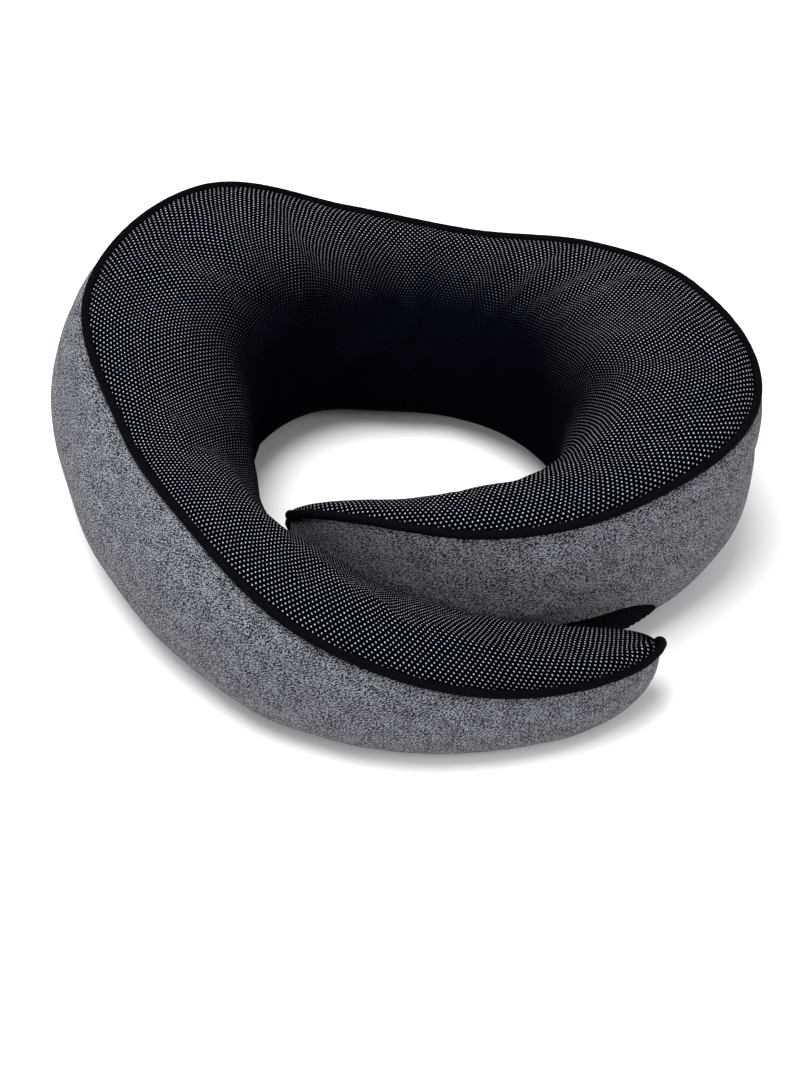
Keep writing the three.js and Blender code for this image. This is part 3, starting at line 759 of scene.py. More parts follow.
def inner_layer(name, arm, inset, setback, material_name, rows=36):
    """A closed shape inside the covers, from the middle of the back to short of an arm's tip."""
    tip = ARMS[arm]
    angles, _ = ring_angles(tip)
    angles = angles[np.abs(angles) <= abs(tip) - setback][::2]
    form = form_at(angles)
    turn = lambda form: form["seam"]
    radius, height = panel(angles, turn, lambda form: form["seam"] - 360, rows)
    points = place(angles, radius, height)[:, :-1]
    middle = place(angles, form["middle"], form["centre"])[:, None]
    closed = np.concatenate([points[:, -1:], points, points[:, :1]], 1)
    normal = grid_normals(closed, closed - middle)[:, 1:-1]
    points = points - normal * inset
    rings, across = points.shape[:2]
    flat = list(points.reshape(-1, 3))
    faces = []
    for i in range(rings - 1):
        for j in range(across):
            n = (j + 1) % across
            faces.append((i * across + j, i * across + n, (i + 1) * across + n, (i + 1) * across + j))
    outward = normal.reshape(-1, 3)
    flip = not faces_point_out(flat, faces, outward)
    for ring in (0, rings - 1):
        flat.append(points[ring].mean(0))
        hub = len(flat) - 1
        for j in range(across):
            pair = (ring * across + j, ring * across + (j + 1) % across)
            faces.append((hub, *(pair[::-1] if ring == 0 else pair)))
    if flip:
        faces = [f[::-1] for f in faces]
    uv = [(p[0] + p[1], p[2]) for p in flat]
    return new_object(name, flat, faces, material(material_name), face_uvs(faces, uv))


class NECKPILLOW_OT_foam(bpy.types.Operator):
    """Make the two halves of the foam core"""

    bl_idname = "neck_pillow.foam"
    bl_label = "Foam core"

    def execute(self, context):
        for arm in ARMS:
            obj = inner_layer(f"foam_core_{arm}_half", arm, 0.0042, 9, "foam")
            settle(obj, cover_nodes("foam_core", arm, arm == "left_arm"))
        return {"FINISHED"}


class NECKPILLOW_OT_liner(bpy.types.Operator):
    """Make the two halves of the knitted liner"""

    bl_idname = "neck_pillow.liner"
    bl_label = "Liner"

    def execute(self, context):
        for arm in ARMS:
            obj = inner_layer(f"liner_{arm}_half", arm, 0.0028, 4.5, "liner knit")
            settle(obj, cover_nodes("liner", arm, arm == "left_arm"))
        return {"FINISHED"}


def seam_puckers(along, seed):
    """Small uneven gathers along a seam, from 0 to 1."""
    random = np.random.default_rng(seed)
    total = np.zeros_like(along)
    for pitch in (0.0065, 0.0092, 0.0147):
        total += np.sin(2 * math.pi * along / pitch + random.uniform(0, 6.3))
    return np.clip(0.5 + total / 5, 0, 1)


def fold_field(along, across, folds):
    """Height of soft folds: each has a place along, its width, depth, where it starts and ends, and lean."""
    total = np.zeros_like(along)
    for place_at, width, depth, low, high, lean in folds:
        fade = 0.22 * (high - low)
        envelope = smoothstep(low, low + fade, across) * (1 - smoothstep(high - fade, high, across))
        centre = place_at + lean * (across - low)
        off = (along - centre) / width
        total += depth * envelope * (np.exp(-(off**2)) - 0.45 * np.exp(-((off - 1.5) ** 2)))
    return total


def fastening_mask(arm, angles, radius, height):
    """1 under the hook and loop patches, where the cover is sewn flat, and 0 away from them."""
    from_, to, low, high, outside = PATCH_AREAS[arm]
    turn = np.abs(angles)[:, None]
    inside = smoothstep(from_ - 7, from_ - 1, turn) * (1 - smoothstep(to + 1, to + 7, turn))
    inside = inside * smoothstep(low - 0.007, low, height) * (1 - smoothstep(high, high + 0.006, height))
    middle = form_at(angles)["middle"][:, None]
    return inside * ((radius > middle) == outside)


def window_nearness(angles, height):
    """1 at the zip's window, falling to 0 some way off it."""
    over = np.abs(height - ZIP_HEIGHT) - ZIP_WINDOW / 2
    beyond = np.maximum(np.abs(angles)[:, None] - ZIP_END_ANGLE, 0) * 0.0022
    return 1 - smoothstep(0.003, 0.014, np.hypot(np.maximum(over, 0), beyond))


def let_cloth_settle(obj, pressure, growth, cap):
    """Blows the panel out against its seams as cloth, and lets no point move further than the cap."""
    scene = bpy.context.scene
    mesh = obj.data
    count = len(mesh.vertices)
    loose = np.empty(count, np.float32)
    mesh.attributes["loose"].data.foreach_get("value", loose)
    start = np.empty(count * 3, np.float32)
    mesh.vertices.foreach_get("co", start)
    start = start.reshape(-1, 3)
    sewn = obj.vertex_groups.new(name="sewn down")
    for i in range(count):
        sewn.add([i], float(1 - loose[i] * 0.97), "REPLACE")
    cloth = obj.modifiers.new("Cloth", "CLOTH")
    cloth.point_cache.frame_start = 1
    cloth.point_cache.frame_end = CLOTH_FRAMES
    how = cloth.settings
    how.quality = 6
    how.mass = 0.2
    how.tension_stiffness = how.compression_stiffness = 12
    how.shear_stiffness = 6
    how.bending_stiffness = 0.35
    how.air_damping = 2.0
    how.use_pressure = True
    how.uniform_pressure_force = pressure
    how.shrink_min = -growth
    how.vertex_group_mass = sewn.name
    how.pin_stiffness = 1.0
    how.effector_weights.gravity = 0
    cloth.collision_settings.use_collision = False
    cloth.collision_settings.use_self_collision = False
    for step in range(1, CLOTH_FRAMES + 1):
        scene.frame_set(step)
    moved = bpy.data.meshes.new_from_object(obj.evaluated_get(bpy.context.evaluated_depsgraph_get()))
    end = np.empty(count * 3, np.float32)
    moved.vertices.foreach_get("co", end)
    shift = end.reshape(-1, 3) - start
    far = np.linalg.norm(shift, axis=1, keepdims=True)
    shift *= cap * np.tanh(far / cap) / np.maximum(far, 1e-9)
    shift *= loose[:, None]
    obj.modifiers.clear()
    obj.vertex_groups.clear()
    bpy.data.meshes.remove(moved)
    settled = start + shift
    settled[:, 2] = np.maximum(settled[:, 2], np.minimum(start[:, 2], ON_FLOOR))
    mesh.vertices.foreach_set("co", settled.ravel())
    mesh.update()
    scene.frame_set(1)
    return obj


def cover_panel(name, arm, start, end, rows, material_name, folds, knots=None, skip=None, lips=None):
    """One fabric panel from the middle of the back to an arm's tip: seam dips, puckers and folds."""
    tip = ARMS[arm]
    s = sizes()
    angles, along = ring_angles(tip)
    form = form_at(angles)
    radius, height = panel(angles, start, end, rows, knots)
    points = place(angles, radius, height)
    middle = place(angles, form["middle"], form["centre"])[:, None]
    normal = grid_normals(points, points - middle)
    gaps = np.linalg.norm(np.diff(points, axis=1), axis=-1)
    across = np.concatenate([np.zeros((len(angles), 1)), np.cumsum(gaps, 1)], 1)
    share = across / across[:, -1:]
    line = np.repeat(along[:, None], rows + 1, 1)
    small = smoothstep(0.004, 0.02, form["half_width"])[:, None]
    width = s.seam_dip_width
    lift = np.zeros_like(line)
    for edge, seed in ((across, 3), (across[:, -1:] - across, 5)):
        near = np.exp(-((edge / width) ** 2))
        reach = np.exp(-((edge / (2.6 * width)) ** 2)) - near
        pucker = seam_puckers(line + 0.3 * (seed - 3), seed)
        lift -= near * s.seam_dip * (0.7 + 0.3 * small)
        lift += small * reach * (pucker - 0.5) * 0.0009
    clear = 1 - fastening_mask(arm, angles, radius, height)
    lift += small * clear * fold_field(line, share, folds)
    if lips is not None:
        lift += lips(angles, height)
    off_edge = np.minimum(across, across[:, -1:] - across)
    loose = small * clear * smoothstep(0.002, 0.016, off_edge) * smoothstep(0.0, 0.014, line)
    if lips is not None:
        loose *= 1 - window_nearness(angles, height)
    points = points + normal * lift[..., None]
    points[..., 2] = np.maximum(points[..., 2], ON_FLOOR)
    # The panel's edges turn in under the piping, and its end turns in under the piping of the tip.
    tuck = 0.0016 * (0.35 + 0.65 * small)
    first = points[:, 0] - normal[:, 0] * tuck
    last = points[:, -1] - normal[:, -1] * tuck
    points = np.concatenate([first[:, None], points, last[:, None]], 1)
    uv_across = np.concatenate([across[:, :1] - 0.0016, across, across[:, -1:] + 0.0016], 1)
    # Where an arm rounds off, the map follows the surface and not the arm's middle line.
    uv_across = uv_across - uv_across[:, [round(0.6 * rows)]]
    runs = np.linalg.norm(np.diff(points, axis=0), axis=-1)
    runs = np.sqrt(np.maximum(runs**2 - np.diff(uv_across, axis=0) ** 2, (0.3 * runs) ** 2))
    regular = np.repeat(np.diff(along)[:, None], rows + 3, 1)
    rounding = 1 - smoothstep(0.010, 0.030, along[-1] - along[1:])[:, None]
    runs = regular + (runs - regular) * rounding
    uv_along = np.concatenate([np.zeros((1, rows + 3)), np.cumsum(runs, 0)], 0)
    turn = math.radians(tip)
    forward = -np.sign(tip) * np.array([math.cos(turn), math.sin(turn), 0.0])
    outward = np.array([-math.sin(turn), math.cos(turn), 0.0])
    end_points = points[-1] + forward * 0.0008
    side = ((end_points - middle[-1]) @ outward)[:, None] * outward
    points = np.concatenate([points, (end_points - side * 0.7)[None]], 0)
    uv_across = np.concatenate([uv_across, uv_across[-1:]], 0)
    uv_along = np.concatenate([uv_along, uv_along[-1:] + 0.001], 0)
    shape = points.shape[:2]
    hole = None if skip is None else (lambda i, j: skip(angles, i, j - 1))
    faces = grid_faces(*shape, skip=hole)
    flat = points.reshape(-1, 3)
    outs = np.concatenate([normal[:, :1], normal, normal[:, -1:]], 1)
    outs = np.concatenate([outs, outs[-1:]], 0).reshape(-1, 3)
    if not faces_point_out(flat, faces, outs):
        faces = [f[::-1] for f in faces]
    uv = np.stack([uv_along.ravel() * np.sign(tip), uv_across.ravel()], -1)
    obj = new_object(name, flat, faces, material(material_name), face_uvs(faces, uv))
    # How far the fabric is stretched along the pillow: less on the neck side, more on the outside. The same
    # values also carry painted shade: they are cut down near the middle of the back, so that the dots dim there.
    spacing = np.linalg.norm(np.gradient(points, axis=0), axis=-1)
    nominal = np.linalg.norm(np.gradient(place(angles, form["middle"], form["centre"]), axis=0), axis=-1)
    nominal = np.r_[nominal, nominal[-1]]
    stretch = spacing / nominal[:, None]
    to_end = np.r_[along[-1] - along, 0.0]
    stretch = 0.6 + (np.minimum(stretch, 1.2) - 0.6) * smoothstep(0.0, TIP_FADE, to_end)[:, None]
    # Painted shade: the dots dim towards the middle of the back, where the inside of the back lies in shade.
    fade = 0.84 + 0.16 * smoothstep(20, 65, np.abs(np.r_[angles, angles[-1]]))
    fade *= 0.88 + 0.12 * smoothstep(0.0, 0.09, to_end)
    stretch = stretch * fade[:, None]
    layer = obj.data.attributes.new("stretch", "FLOAT", "POINT")
    layer.data.foreach_set("value", stretch.ravel().astype(np.float32))
    layer = obj.data.attributes.new("loose", "FLOAT", "POINT")
    loose = np.pad(loose, ((0, 1), (1, 1)))
    layer.data.foreach_set("value", loose.ravel().astype(np.float32))
    strays = bmesh.new()
    strays.from_mesh(obj.data)
    bmesh.ops.delete(strays, geom=[v for v in strays.verts if not v.link_faces], context="VERTS")
    strays.to_mesh(obj.data)
    strays.free()
    return obj


CLOTH_FRAMES = 20
ON_FLOOR = 0.0002  # the covers rest this far off the floor, so that nothing sinks into it
TIP_FADE = 0.013  # the dots thin out over this length at the arms' ends
# Where each arm's fastening patch lies: angles, heights, and whether it is on the outside.
PATCH_AREAS = {
    "left_arm": (205.0, 228.0, 0.0175, 0.0365, False),
    "right_arm": (114.0, 150.0, 0.0075, 0.0330, True),
}

# Soft folds: place along from the middle of the back, width, height, start and end across, and lean.
MESH_FOLDS = {
    "left_arm": [
        (0.020, 0.0075, 0.0016, 0.45, 0.98, -0.010),
        (0.047, 0.0065, 0.0012, 0.50, 0.97, 0.012),
        (0.098, 0.0090, 0.0020, 0.42, 0.95, -0.030),
        (0.121, 0.0080, 0.0018, 0.48, 0.96, -0.022),
        (0.146, 0.0090, 0.0016, 0.45, 0.92, -0.012),
        (0.215, 0.0120, 0.0012, 0.40, 0.90, 0.020),
    ],
    "right_arm": [
        (0.016, 0.0080, 0.0018, 0.42, 0.98, 0.012),
        (0.036, 0.0070, 0.0020, 0.45, 0.98, 0.018),
        (0.060, 0.0075, 0.0017, 0.48, 0.96, 0.010),
        (0.083, 0.0080, 0.0013, 0.50, 0.95, -0.008),
        (0.128, 0.0095, 0.0016, 0.45, 0.92, -0.025),
    ],
}
JERSEY_FOLDS = {
    "left_arm": [
        (0.165, 0.0140, 0.0010, 0.05, 0.55, 0.030),
        (0.225, 0.0150, 0.0009, 0.08, 0.60, -0.020),
        (0.300, 0.0120, 0.0009, 0.05, 0.65, 0.020),
    ],
    "right_arm": [
        (0.160, 0.0140, 0.0010, 0.05, 0.55, -0.030),
        (0.230, 0.0120, 0.0011, 0.05, 0.60, 0.020),
        (0.262, 0.0100, 0.0010, 0.05, 0.60, -0.015),
    ],
}


def seam_direction(form):
    return form["seam"]


def lower_direction(form):
    return np.full_like(form["seam"], LOWER_SEAM)


def far_seam_direction(form):
    return form["seam"] - 360


WINDOW_ROWS = (0.30, 0.40)  # shares of the jersey's rows that the zip's window takes


def zip_knots(angle, radius, height, share, wanted):
    """Moves rows of the jersey so that two of them run along the edges of the zip's window."""
    strength = 1 - smoothstep(ZIP_END_ANGLE + 4, ZIP_END_ANGLE + 30, abs(angle))
    if strength == 0:
        return wanted
    down = np.argmax(height[:150])
    tops = height[down:160][::-1]
    shares = share[down:160][::-1]
    upper = np.interp(ZIP_HEIGHT + ZIP_WINDOW / 2, tops, shares)
    lower = np.interp(ZIP_HEIGHT - ZIP_WINDOW / 2, tops, shares)
    rows = len(wanted) - 1
    first, second = (round(x * rows) / rows for x in WINDOW_ROWS)
    target = [0, upper * strength + first * (1 - strength), lower * strength + second * (1 - strength), 1]
    return np.interp(wanted, [0, first, second, 1], target)


def in_window(angles, ring, row):
    rows = sizes().jersey_rows
    first, second = (round(x * rows) for x in WINDOW_ROWS)
    if ring + 1 >= len(angles):
        return False
    inside = max(abs(angles[ring]), abs(angles[ring + 1])) <= ZIP_END_ANGLE + 1e-6
    return inside and first <= row < second


def window_lips(angles, height):
    """The jersey's edge sinks a little where it is sewn to the zip."""
    over = np.abs(height - ZIP_HEIGHT) - ZIP_WINDOW / 2
    beyond = np.maximum(np.abs(angles)[:, None] - ZIP_END_ANGLE, 0) * 0.0022
    off = np.hypot(np.maximum(over, 0), beyond)
    return -0.0004 * np.exp(-((off / 0.0028) ** 2))


class NECKPILLOW_OT_jersey(bpy.types.Operator):
    """Make the grey jersey panels of the outside and underside"""

    bl_idname = "neck_pillow.jersey"
    bl_label = "Jersey cover"

    def execute(self, context):
        s = sizes()
        for arm in ARMS:
            obj = cover_panel(f"jersey_cover_{arm}_half", arm, seam_direction, lower_direction,
                              s.jersey_rows, "heather jersey", JERSEY_FOLDS[arm], zip_knots, in_window,
                              window_lips)
            let_cloth_settle(obj, 2.5, 0.006, 0.0025)
            finish_shell(obj, s.cover_thickness)
            settle(obj, cover_nodes("jersey_panel", arm, arm == "left_arm"))
        return {"FINISHED"}


class NECKPILLOW_OT_mesh(bpy.types.Operator):
    """Make the dotted mesh panels of the top and neck side"""

    bl_idname = "neck_pillow.mesh"
    bl_label = "Mesh cover"

    def execute(self, context):
        s = sizes()
        for arm in ARMS:
            obj = cover_panel(f"mesh_cover_{arm}_half", arm, lower_direction, far_seam_direction,
                              s.mesh_rows, "dotted mesh", MESH_FOLDS[arm])
            let_cloth_settle(obj, 1.5, 0.018, 0.0030)
            finish_shell(obj, s.cover_thickness)
            settle(obj, cover_nodes("mesh_panel", arm, arm == "left_arm"))
        return {"FINISHED"}


def seam_line(arm, direction, stand_off, to=None):
    """Points along a seam and the outward direction there, from the middle of the back to the tip."""
    tip = ARMS[arm]
    angles, _ = ring_angles(tip)
    form = form_at(angles)
    around = direction(form)[:, None] + np.array([-3.0, 0.0, 3.0])
    radius, height = section_points(form, around)
    points = place(angles, radius, height)
    run = points[:, 2] - points[:, 0]
    along = np.gradient(points[:, 1], axis=0)
    out = np.cross(along, run)
    out /= np.linalg.norm(out, axis=1, keepdims=True)
    middle = place(angles, form["middle"], form["centre"])
    out *= np.sign(((points[:, 1] - middle) * out).sum(1))[:, None]
    return points[:, 1] + out * stand_off, out, angles


def over_the_tip(arm, line, radius, upper):
    """Carries a seam line round the end of an arm, half way to the other seam."""
    tip = ARMS[arm]
    form = form_at(np.array([tip]))
    turn = math.radians(tip)
    forward = -np.sign(tip) * np.array([math.cos(turn), math.sin(turn), 0.0])
    centre = place(np.array([tip]), form["middle"], form["centre"])[0]
    reach = float(form["reach"][0])
    side = 1 if upper else -1
    corner = line[-1]
    extra = []
    for step in (20, 45, 70, 90):
        a = math.radians(step)
        extra.append(corner + forward * radius * 0.8 * math.sin(a) - Vector((0, 0, side * radius * 0.8 * (1 - math.cos(a)))))
    low = centre + forward * (radius * 0.8 + 0.0002)
    bottom = low + np.array([0, 0, side * 0.0004])
    top = extra[-1]
    for share in (0.33, 0.66, 1.0):
        extra.append(np.asarray(top) * (1 - share) + bottom * share)
    return np.vstack([line, np.array(extra)]), reach


def make_piping(name, arm, direction, radius, upper):
    stand_off = radius * 0.3
    line, _, _ = seam_line(arm, direction, stand_off)
    line, _ = over_the_tip(arm, line, radius, upper)
    along = np.r_[0, np.cumsum(np.linalg.norm(np.diff(line, axis=0), axis=1))]
    even = np.linspace(0, along[-1], round(along[-1] / 0.0022))
    path = np.stack([np.interp(even, along, line[:, k]) for k in range(3)], -1)
    for _ in range(2):
        path[1:-1] = (path[:-2] + 2 * path[1:-1] + path[2:]) / 4
    path[:, 2] = np.maximum(path[:, 2], radius * 1.05)
    wobble = 1 + 0.035 * (seam_puckers(even, 11) - 0.5)
    knob = 1 + 0.55 * np.exp(-(((even - along[len(along) - 6]) / 0.004) ** 2)) * (1 if upper else 0)
    obj = tube(name, path, radius * wobble * knob, material("black piping"), sides=14)
    kind = "top_piping" if upper else "lower_piping"
    settle(obj, cover_nodes(kind, arm, arm == "left_arm"))
    return obj


class NECKPILLOW_OT_piping(bpy.types.Operator):
    """Make the black piping along both seams"""

    bl_idname = "neck_pillow.piping"
    bl_label = "Piping"

    def execute(self, context):
        s = sizes()
        for arm in ARMS:
            make_piping(f"top_piping_{arm}_half", arm, seam_direction, s.piping_radius, True)
            make_piping(f"lower_piping_{arm}_half", arm, lower_direction, s.lower_piping_radius, False)
        return {"FINISHED"}


# ---- Rows of like shapes ----


def row_tree():
    """Geometry nodes that set rounded shapes along a path at an even pitch."""
    name = "shapes along a path"
    tree = bpy.data.node_groups.get(name)
    if tree:
        return tree
    tree = bpy.data.node_groups.new(name, "GeometryNodeTree")
    tree.interface.new_socket("Path", in_out="INPUT", socket_type="NodeSocketGeometry")
    tree.interface.new_socket("Pitch", in_out="INPUT", socket_type="NodeSocketFloat")
    tree.interface.new_socket("Size", in_out="INPUT", socket_type="NodeSocketVector")
    tree.interface.new_socket("Material", in_out="INPUT", socket_type="NodeSocketMaterial")
    tree.interface.new_socket("Shapes", in_out="OUTPUT", socket_type="NodeSocketGeometry")
    w = Wires(tree)
    entry = w.node("NodeGroupInput")
    exit_ = w.node("NodeGroupOutput")
    curve = w.node("GeometryNodeMeshToCurve")
    w.link(entry.outputs["Path"], curve.inputs[0])
    upright = w.node("GeometryNodeSetCurveNormal")
    upright.mode = "Z_UP"
    w.link(curve.outputs[0], upright.inputs[0])
    points = w.node("GeometryNodeCurveToPoints", mode="LENGTH")
    w.link(upright.outputs[0], points.inputs["Curve"])
    w.link(entry.outputs["Pitch"], points.inputs["Length"])
    ball = w.node("GeometryNodeMeshUVSphere")
    ball.inputs["Segments"].default_value = 8
    ball.inputs["Rings"].default_value = 5
    ball.inputs["Radius"].default_value = 1.0
    shape = w.node("GeometryNodeTransform")
    w.link(ball.outputs["Mesh"], shape.inputs["Geometry"])
    w.link(entry.outputs["Size"], shape.inputs["Scale"])
    place_ = w.node("GeometryNodeInstanceOnPoints")
    w.link(points.outputs["Points"], place_.inputs["Points"])
    w.link(points.outputs["Rotation"], place_.inputs["Rotation"])
    w.link(shape.outputs["Geometry"], place_.inputs["Instance"])
    real = w.node("GeometryNodeRealizeInstances")
    w.link(place_.outputs["Instances"], real.inputs[0])
    soft = w.node("GeometryNodeSetShadeSmooth")
    w.link(real.outputs[0], soft.inputs["Geometry"])
    finish = w.node("GeometryNodeSetMaterial")
    w.link(soft.outputs[0], finish.inputs["Geometry"])
    w.link(entry.outputs["Material"], finish.inputs["Material"])
    w.link(finish.outputs[0], exit_.inputs["Shapes"])
    return tree


def scatter_tree():
    """Geometry nodes that stand small hooks on a surface, evenly spread from a fixed seed."""
    name = "hooks on a surface"
    tree = bpy.data.node_groups.get(name)
    if tree:
        return tree
    tree = bpy.data.node_groups.new(name, "GeometryNodeTree")
    tree.interface.new_socket("Surface", in_out="INPUT", socket_type="NodeSocketGeometry")
    tree.interface.new_socket("Spacing", in_out="INPUT", socket_type="NodeSocketFloat")
    tree.interface.new_socket("Hook", in_out="INPUT", socket_type="NodeSocketVector")
    tree.interface.new_socket("Material", in_out="INPUT", socket_type="NodeSocketMaterial")
    tree.interface.new_socket("Hooks", in_out="OUTPUT", socket_type="NodeSocketGeometry")
    w = Wires(tree)
    entry = w.node("NodeGroupInput")
    exit_ = w.node("NodeGroupOutput")
    points = w.node("GeometryNodeDistributePointsOnFaces", distribute_method="POISSON")
    w.link(entry.outputs["Surface"], points.inputs["Mesh"])
    w.link(entry.outputs["Spacing"], points.inputs["Distance Min"])
    points.inputs["Density Max"].default_value = 2.0e6
    points.inputs["Seed"].default_value = 4
    ball = w.node("GeometryNodeMeshUVSphere")
    ball.inputs["Segments"].default_value = 5
    ball.inputs["Rings"].default_value = 4
    ball.inputs["Radius"].default_value = 1.0
    shape = w.node("GeometryNodeTransform")
    w.link(ball.outputs["Mesh"], shape.inputs["Geometry"])
    w.link(entry.outputs["Hook"], shape.inputs["Scale"])
    place_ = w.node("GeometryNodeInstanceOnPoints")
    w.link(points.outputs["Points"], place_.inputs["Points"])
    w.link(points.outputs["Rotation"], place_.inputs["Rotation"])
    w.link(shape.outputs["Geometry"], place_.inputs["Instance"])
    real = w.node("GeometryNodeRealizeInstances")
    w.link(place_.outputs["Instances"], real.inputs[0])
    finish = w.node("GeometryNodeSetMaterial")
    w.link(real.outputs[0], finish.inputs["Geometry"])
    w.link(entry.outputs["Material"], finish.inputs["Material"])
    w.link(finish.outputs[0], exit_.inputs["Hooks"])
    return tree


def grown(obj, tree, values):
    """Runs a geometry node tree on an object with its inputs set, and leaves a plain mesh."""
    modifier = obj.modifiers.new("Rule", "NODES")
    modifier.node_group = tree
    for item in tree.interface.items_tree:
        if item.item_type == "SOCKET" and item.in_out == "INPUT" and item.name in values:
            modifier[item.identifier] = values[item.name]
    return apply_modifiers(obj)


def row_along(name, path, pitch, size, material_name, closed=False):
    """One mesh of rounded shapes along a path. size is across, up and along, each half its width."""
    points = [tuple(p) for p in path]
    edges = [(i, i + 1) for i in range(len(points) - 1)]
    if closed:
        edges.append((len(points) - 1, 0))
    mesh = bpy.data.meshes.new(name)
    mesh.from_pydata(points, edges, [])
    obj = bpy.data.objects.new(name, mesh)
    bpy.context.scene.collection.objects.link(obj)
    values = {"Pitch": pitch, "Size": size, "Material": material(material_name)}
    return grown(obj, row_tree(), values)


# ---- Zip ----


def zip_face(angles, heights, offset):
    """Points on the outside of the back at given angles and heights, moved out by an offset."""
    angles = np.asarray(angles, float)
    heights = np.broadcast_to(heights, angles.shape)
    form = form_at(angles)
    directions = np.linspace(40, -89, 260)
    radius, height = section_points(form, np.broadcast_to(directions, (len(angles), 260)))
    at = np.array([np.interp(heights[i], height[i][::-1], radius[i][::-1]) for i in range(len(angles))])
    return place(angles, at + offset, heights)


def even_angles(end, step, height):
    """Angles that are evenly spaced along the zip from one end to the other."""
    fine = np.linspace(-end, end, 800)
    line = zip_face(fine, height, 0.0)
    along = np.r_[0, np.cumsum(np.linalg.norm(np.diff(line, axis=0), axis=1))]
    return np.interp(np.linspace(0, along[-1], round(along[-1] / step) + 1), along, fine)


def zip_tape(side):
    """One woven tape, from beside the chain to under the jersey's edge."""
    angles = even_angles(ZIP_END_ANGLE + 0.9, 0.0026, ZIP_HEIGHT)
    columns = ((0.0010, -0.00045), (0.0026, -0.00050), (0.0045, -0.00075), (0.0070, -0.00120),
               (0.0088, -0.00155), (0.0099, -0.00170))
    points = np.stack([zip_face(angles, ZIP_HEIGHT + side * at, out) for at, out in columns], 1)
    faces = grid_faces(*points.shape[:2])
    flat = points.reshape(-1, 3)
    outward = flat - np.array([*POLE, ZIP_HEIGHT])
    if not faces_point_out(flat, faces, outward):
        faces = [f[::-1] for f in faces]
    along = np.repeat(np.linspace(0, len(angles) * 0.0026, len(angles))[:, None], len(columns), 1)
    across = np.repeat(np.array([[at for at, _ in columns]]), len(angles), 0)
    uv = np.stack([along.ravel(), across.ravel()], -1)
    name = "woven_tape_upper" if side > 0 else "woven_tape_lower"
    obj = new_object(name, flat, faces, material("zip tape"), face_uvs(faces, uv))
    finish_shell(obj, 0.0007)
    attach(obj, "back")
    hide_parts("zip_tape_upper" if side > 0 else "zip_tape_lower")
    return obj


def bevelled_copy(name, node, body, material_name, width=0.00022):
    """A frame part with its edges rounded."""
    build = bmesh.new()
    build.from_mesh(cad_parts[node].data)
    bmesh.ops.remove_doubles(build, verts=build.verts, dist=1e-6)
    bmesh.ops.dissolve_limit(build, angle_limit=math.radians(3), verts=build.verts, edges=build.edges)
    mesh = bpy.data.meshes.new(name)
    build.to_mesh(mesh)
    build.free()
    mesh.materials.append(material(material_name))
    mesh.polygons.foreach_set("use_smooth", [True] * len(mesh.polygons))
    obj = bpy.data.objects.new(name, mesh)
    bpy.context.scene.collection.objects.link(obj)
    bevel = obj.modifiers.new("Edges", "BEVEL")
    bevel.width = width
    bevel.segments = 2
    bevel.limit_method = "ANGLE"
    bevel.angle_limit = math.radians(35)
    bevel.harden_normals = True
    flat = obj.modifiers.new("Plain faces", "TRIANGULATE")
    flat.keep_custom_normals = True
    apply_modifiers(obj)
    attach(obj, body)
    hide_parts(node)
    return obj


class NECKPILLOW_OT_zip(bpy.types.Operator):
    """Make the zip: woven tapes, coil, end stops, slider and pull"""

    bl_idname = "neck_pillow.zip"
    bl_label = "Zip"

    def execute(self, context):
        pitch = sizes().tooth_pitch
        for side, name in ((1, "upper"), (-1, "lower")):
            zip_tape(side)
            # The two halves' turns mesh: one starts half a pitch on from the other.
            middle = even_angles(ZIP_HALF_ANGLE, 0.0013, ZIP_HEIGHT)
            shift = 0.5 * side * (middle[1] - middle[0]) / 2
            path = zip_face(middle + shift, ZIP_HEIGHT + side * 0.00105, 0.00005)
            coil = row_along(f"coil_{name}", path, pitch, (0.00048, 0.00135, 0.00042), "nylon coil")
            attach(coil, "back")
            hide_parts(f"zip_chain_{name}")
        bevelled_copy("top_stop", "zip_top_stop", "back", "dark enamel")
        bevelled_copy("bottom_stop", "zip_bottom_stop", "back", "dark enamel")
        bevelled_copy("slider", "zip_slider", "zip_slider", "dark enamel", 0.00025)
        bevelled_copy("pull", "zip_pull", "zip_pull", "dark enamel", 0.00025)
        return {"FINISHED"}


# ---- Hook and loop fastening ----


def patch_surface(arm, inset=0.0, out=0.0, rings=34, rows=16):
    """A grid on an arm's face inside a rounded outline, as points and outward directions."""
    first, last, upper, lower = PATCH_OUTLINES[arm]
    side = np.sign(ARMS[arm])
    mid_radius = float(form_at([side * (first + last) / 2])["middle"][0])
    middle = (upper + lower) / 2
    half = abs(upper - lower) / 2
    corner = math.degrees(PATCH_CORNER / mid_radius)
    trim = math.degrees(inset / mid_radius)
    low, high = first + trim, last - trim
    # Rings crowd towards the rounded ends.
    share = (1 - np.cos(np.linspace(0, math.pi, rings))) / 2
    at = low + (high - low) * share
    to_end = np.minimum(at - low, high - at)
    round_ = np.clip(1 - to_end / corner, 0, 1)
    width = np.clip(1 - round_**1.7, 0.0, 1) ** 0.7 * (half - inset / 0.0006)
    width = np.maximum(width, 0.6)
    angles = side * at
    form = form_at(angles)
    spread = np.linspace(1, -1, rows + 1) if upper > lower else np.linspace(-1, 1, rows + 1)
    directions = middle + width[:, None] * spread
    radius, height = section_points(form, directions)
    points = place(angles, radius, height)
    centre = place(angles, form["middle"], form["centre"])[:, None]
    return points, grid_normals(points, points - centre)


PATCH_CORNER = 0.0175
# First and last angle, and the directions of the upper and lower edge.
PATCH_OUTLINES = {
    "right_arm": (113.0, 150.0, -16.0, -52.0),
    "left_arm": (205.0, 228.0, -198.0, -164.0),
}


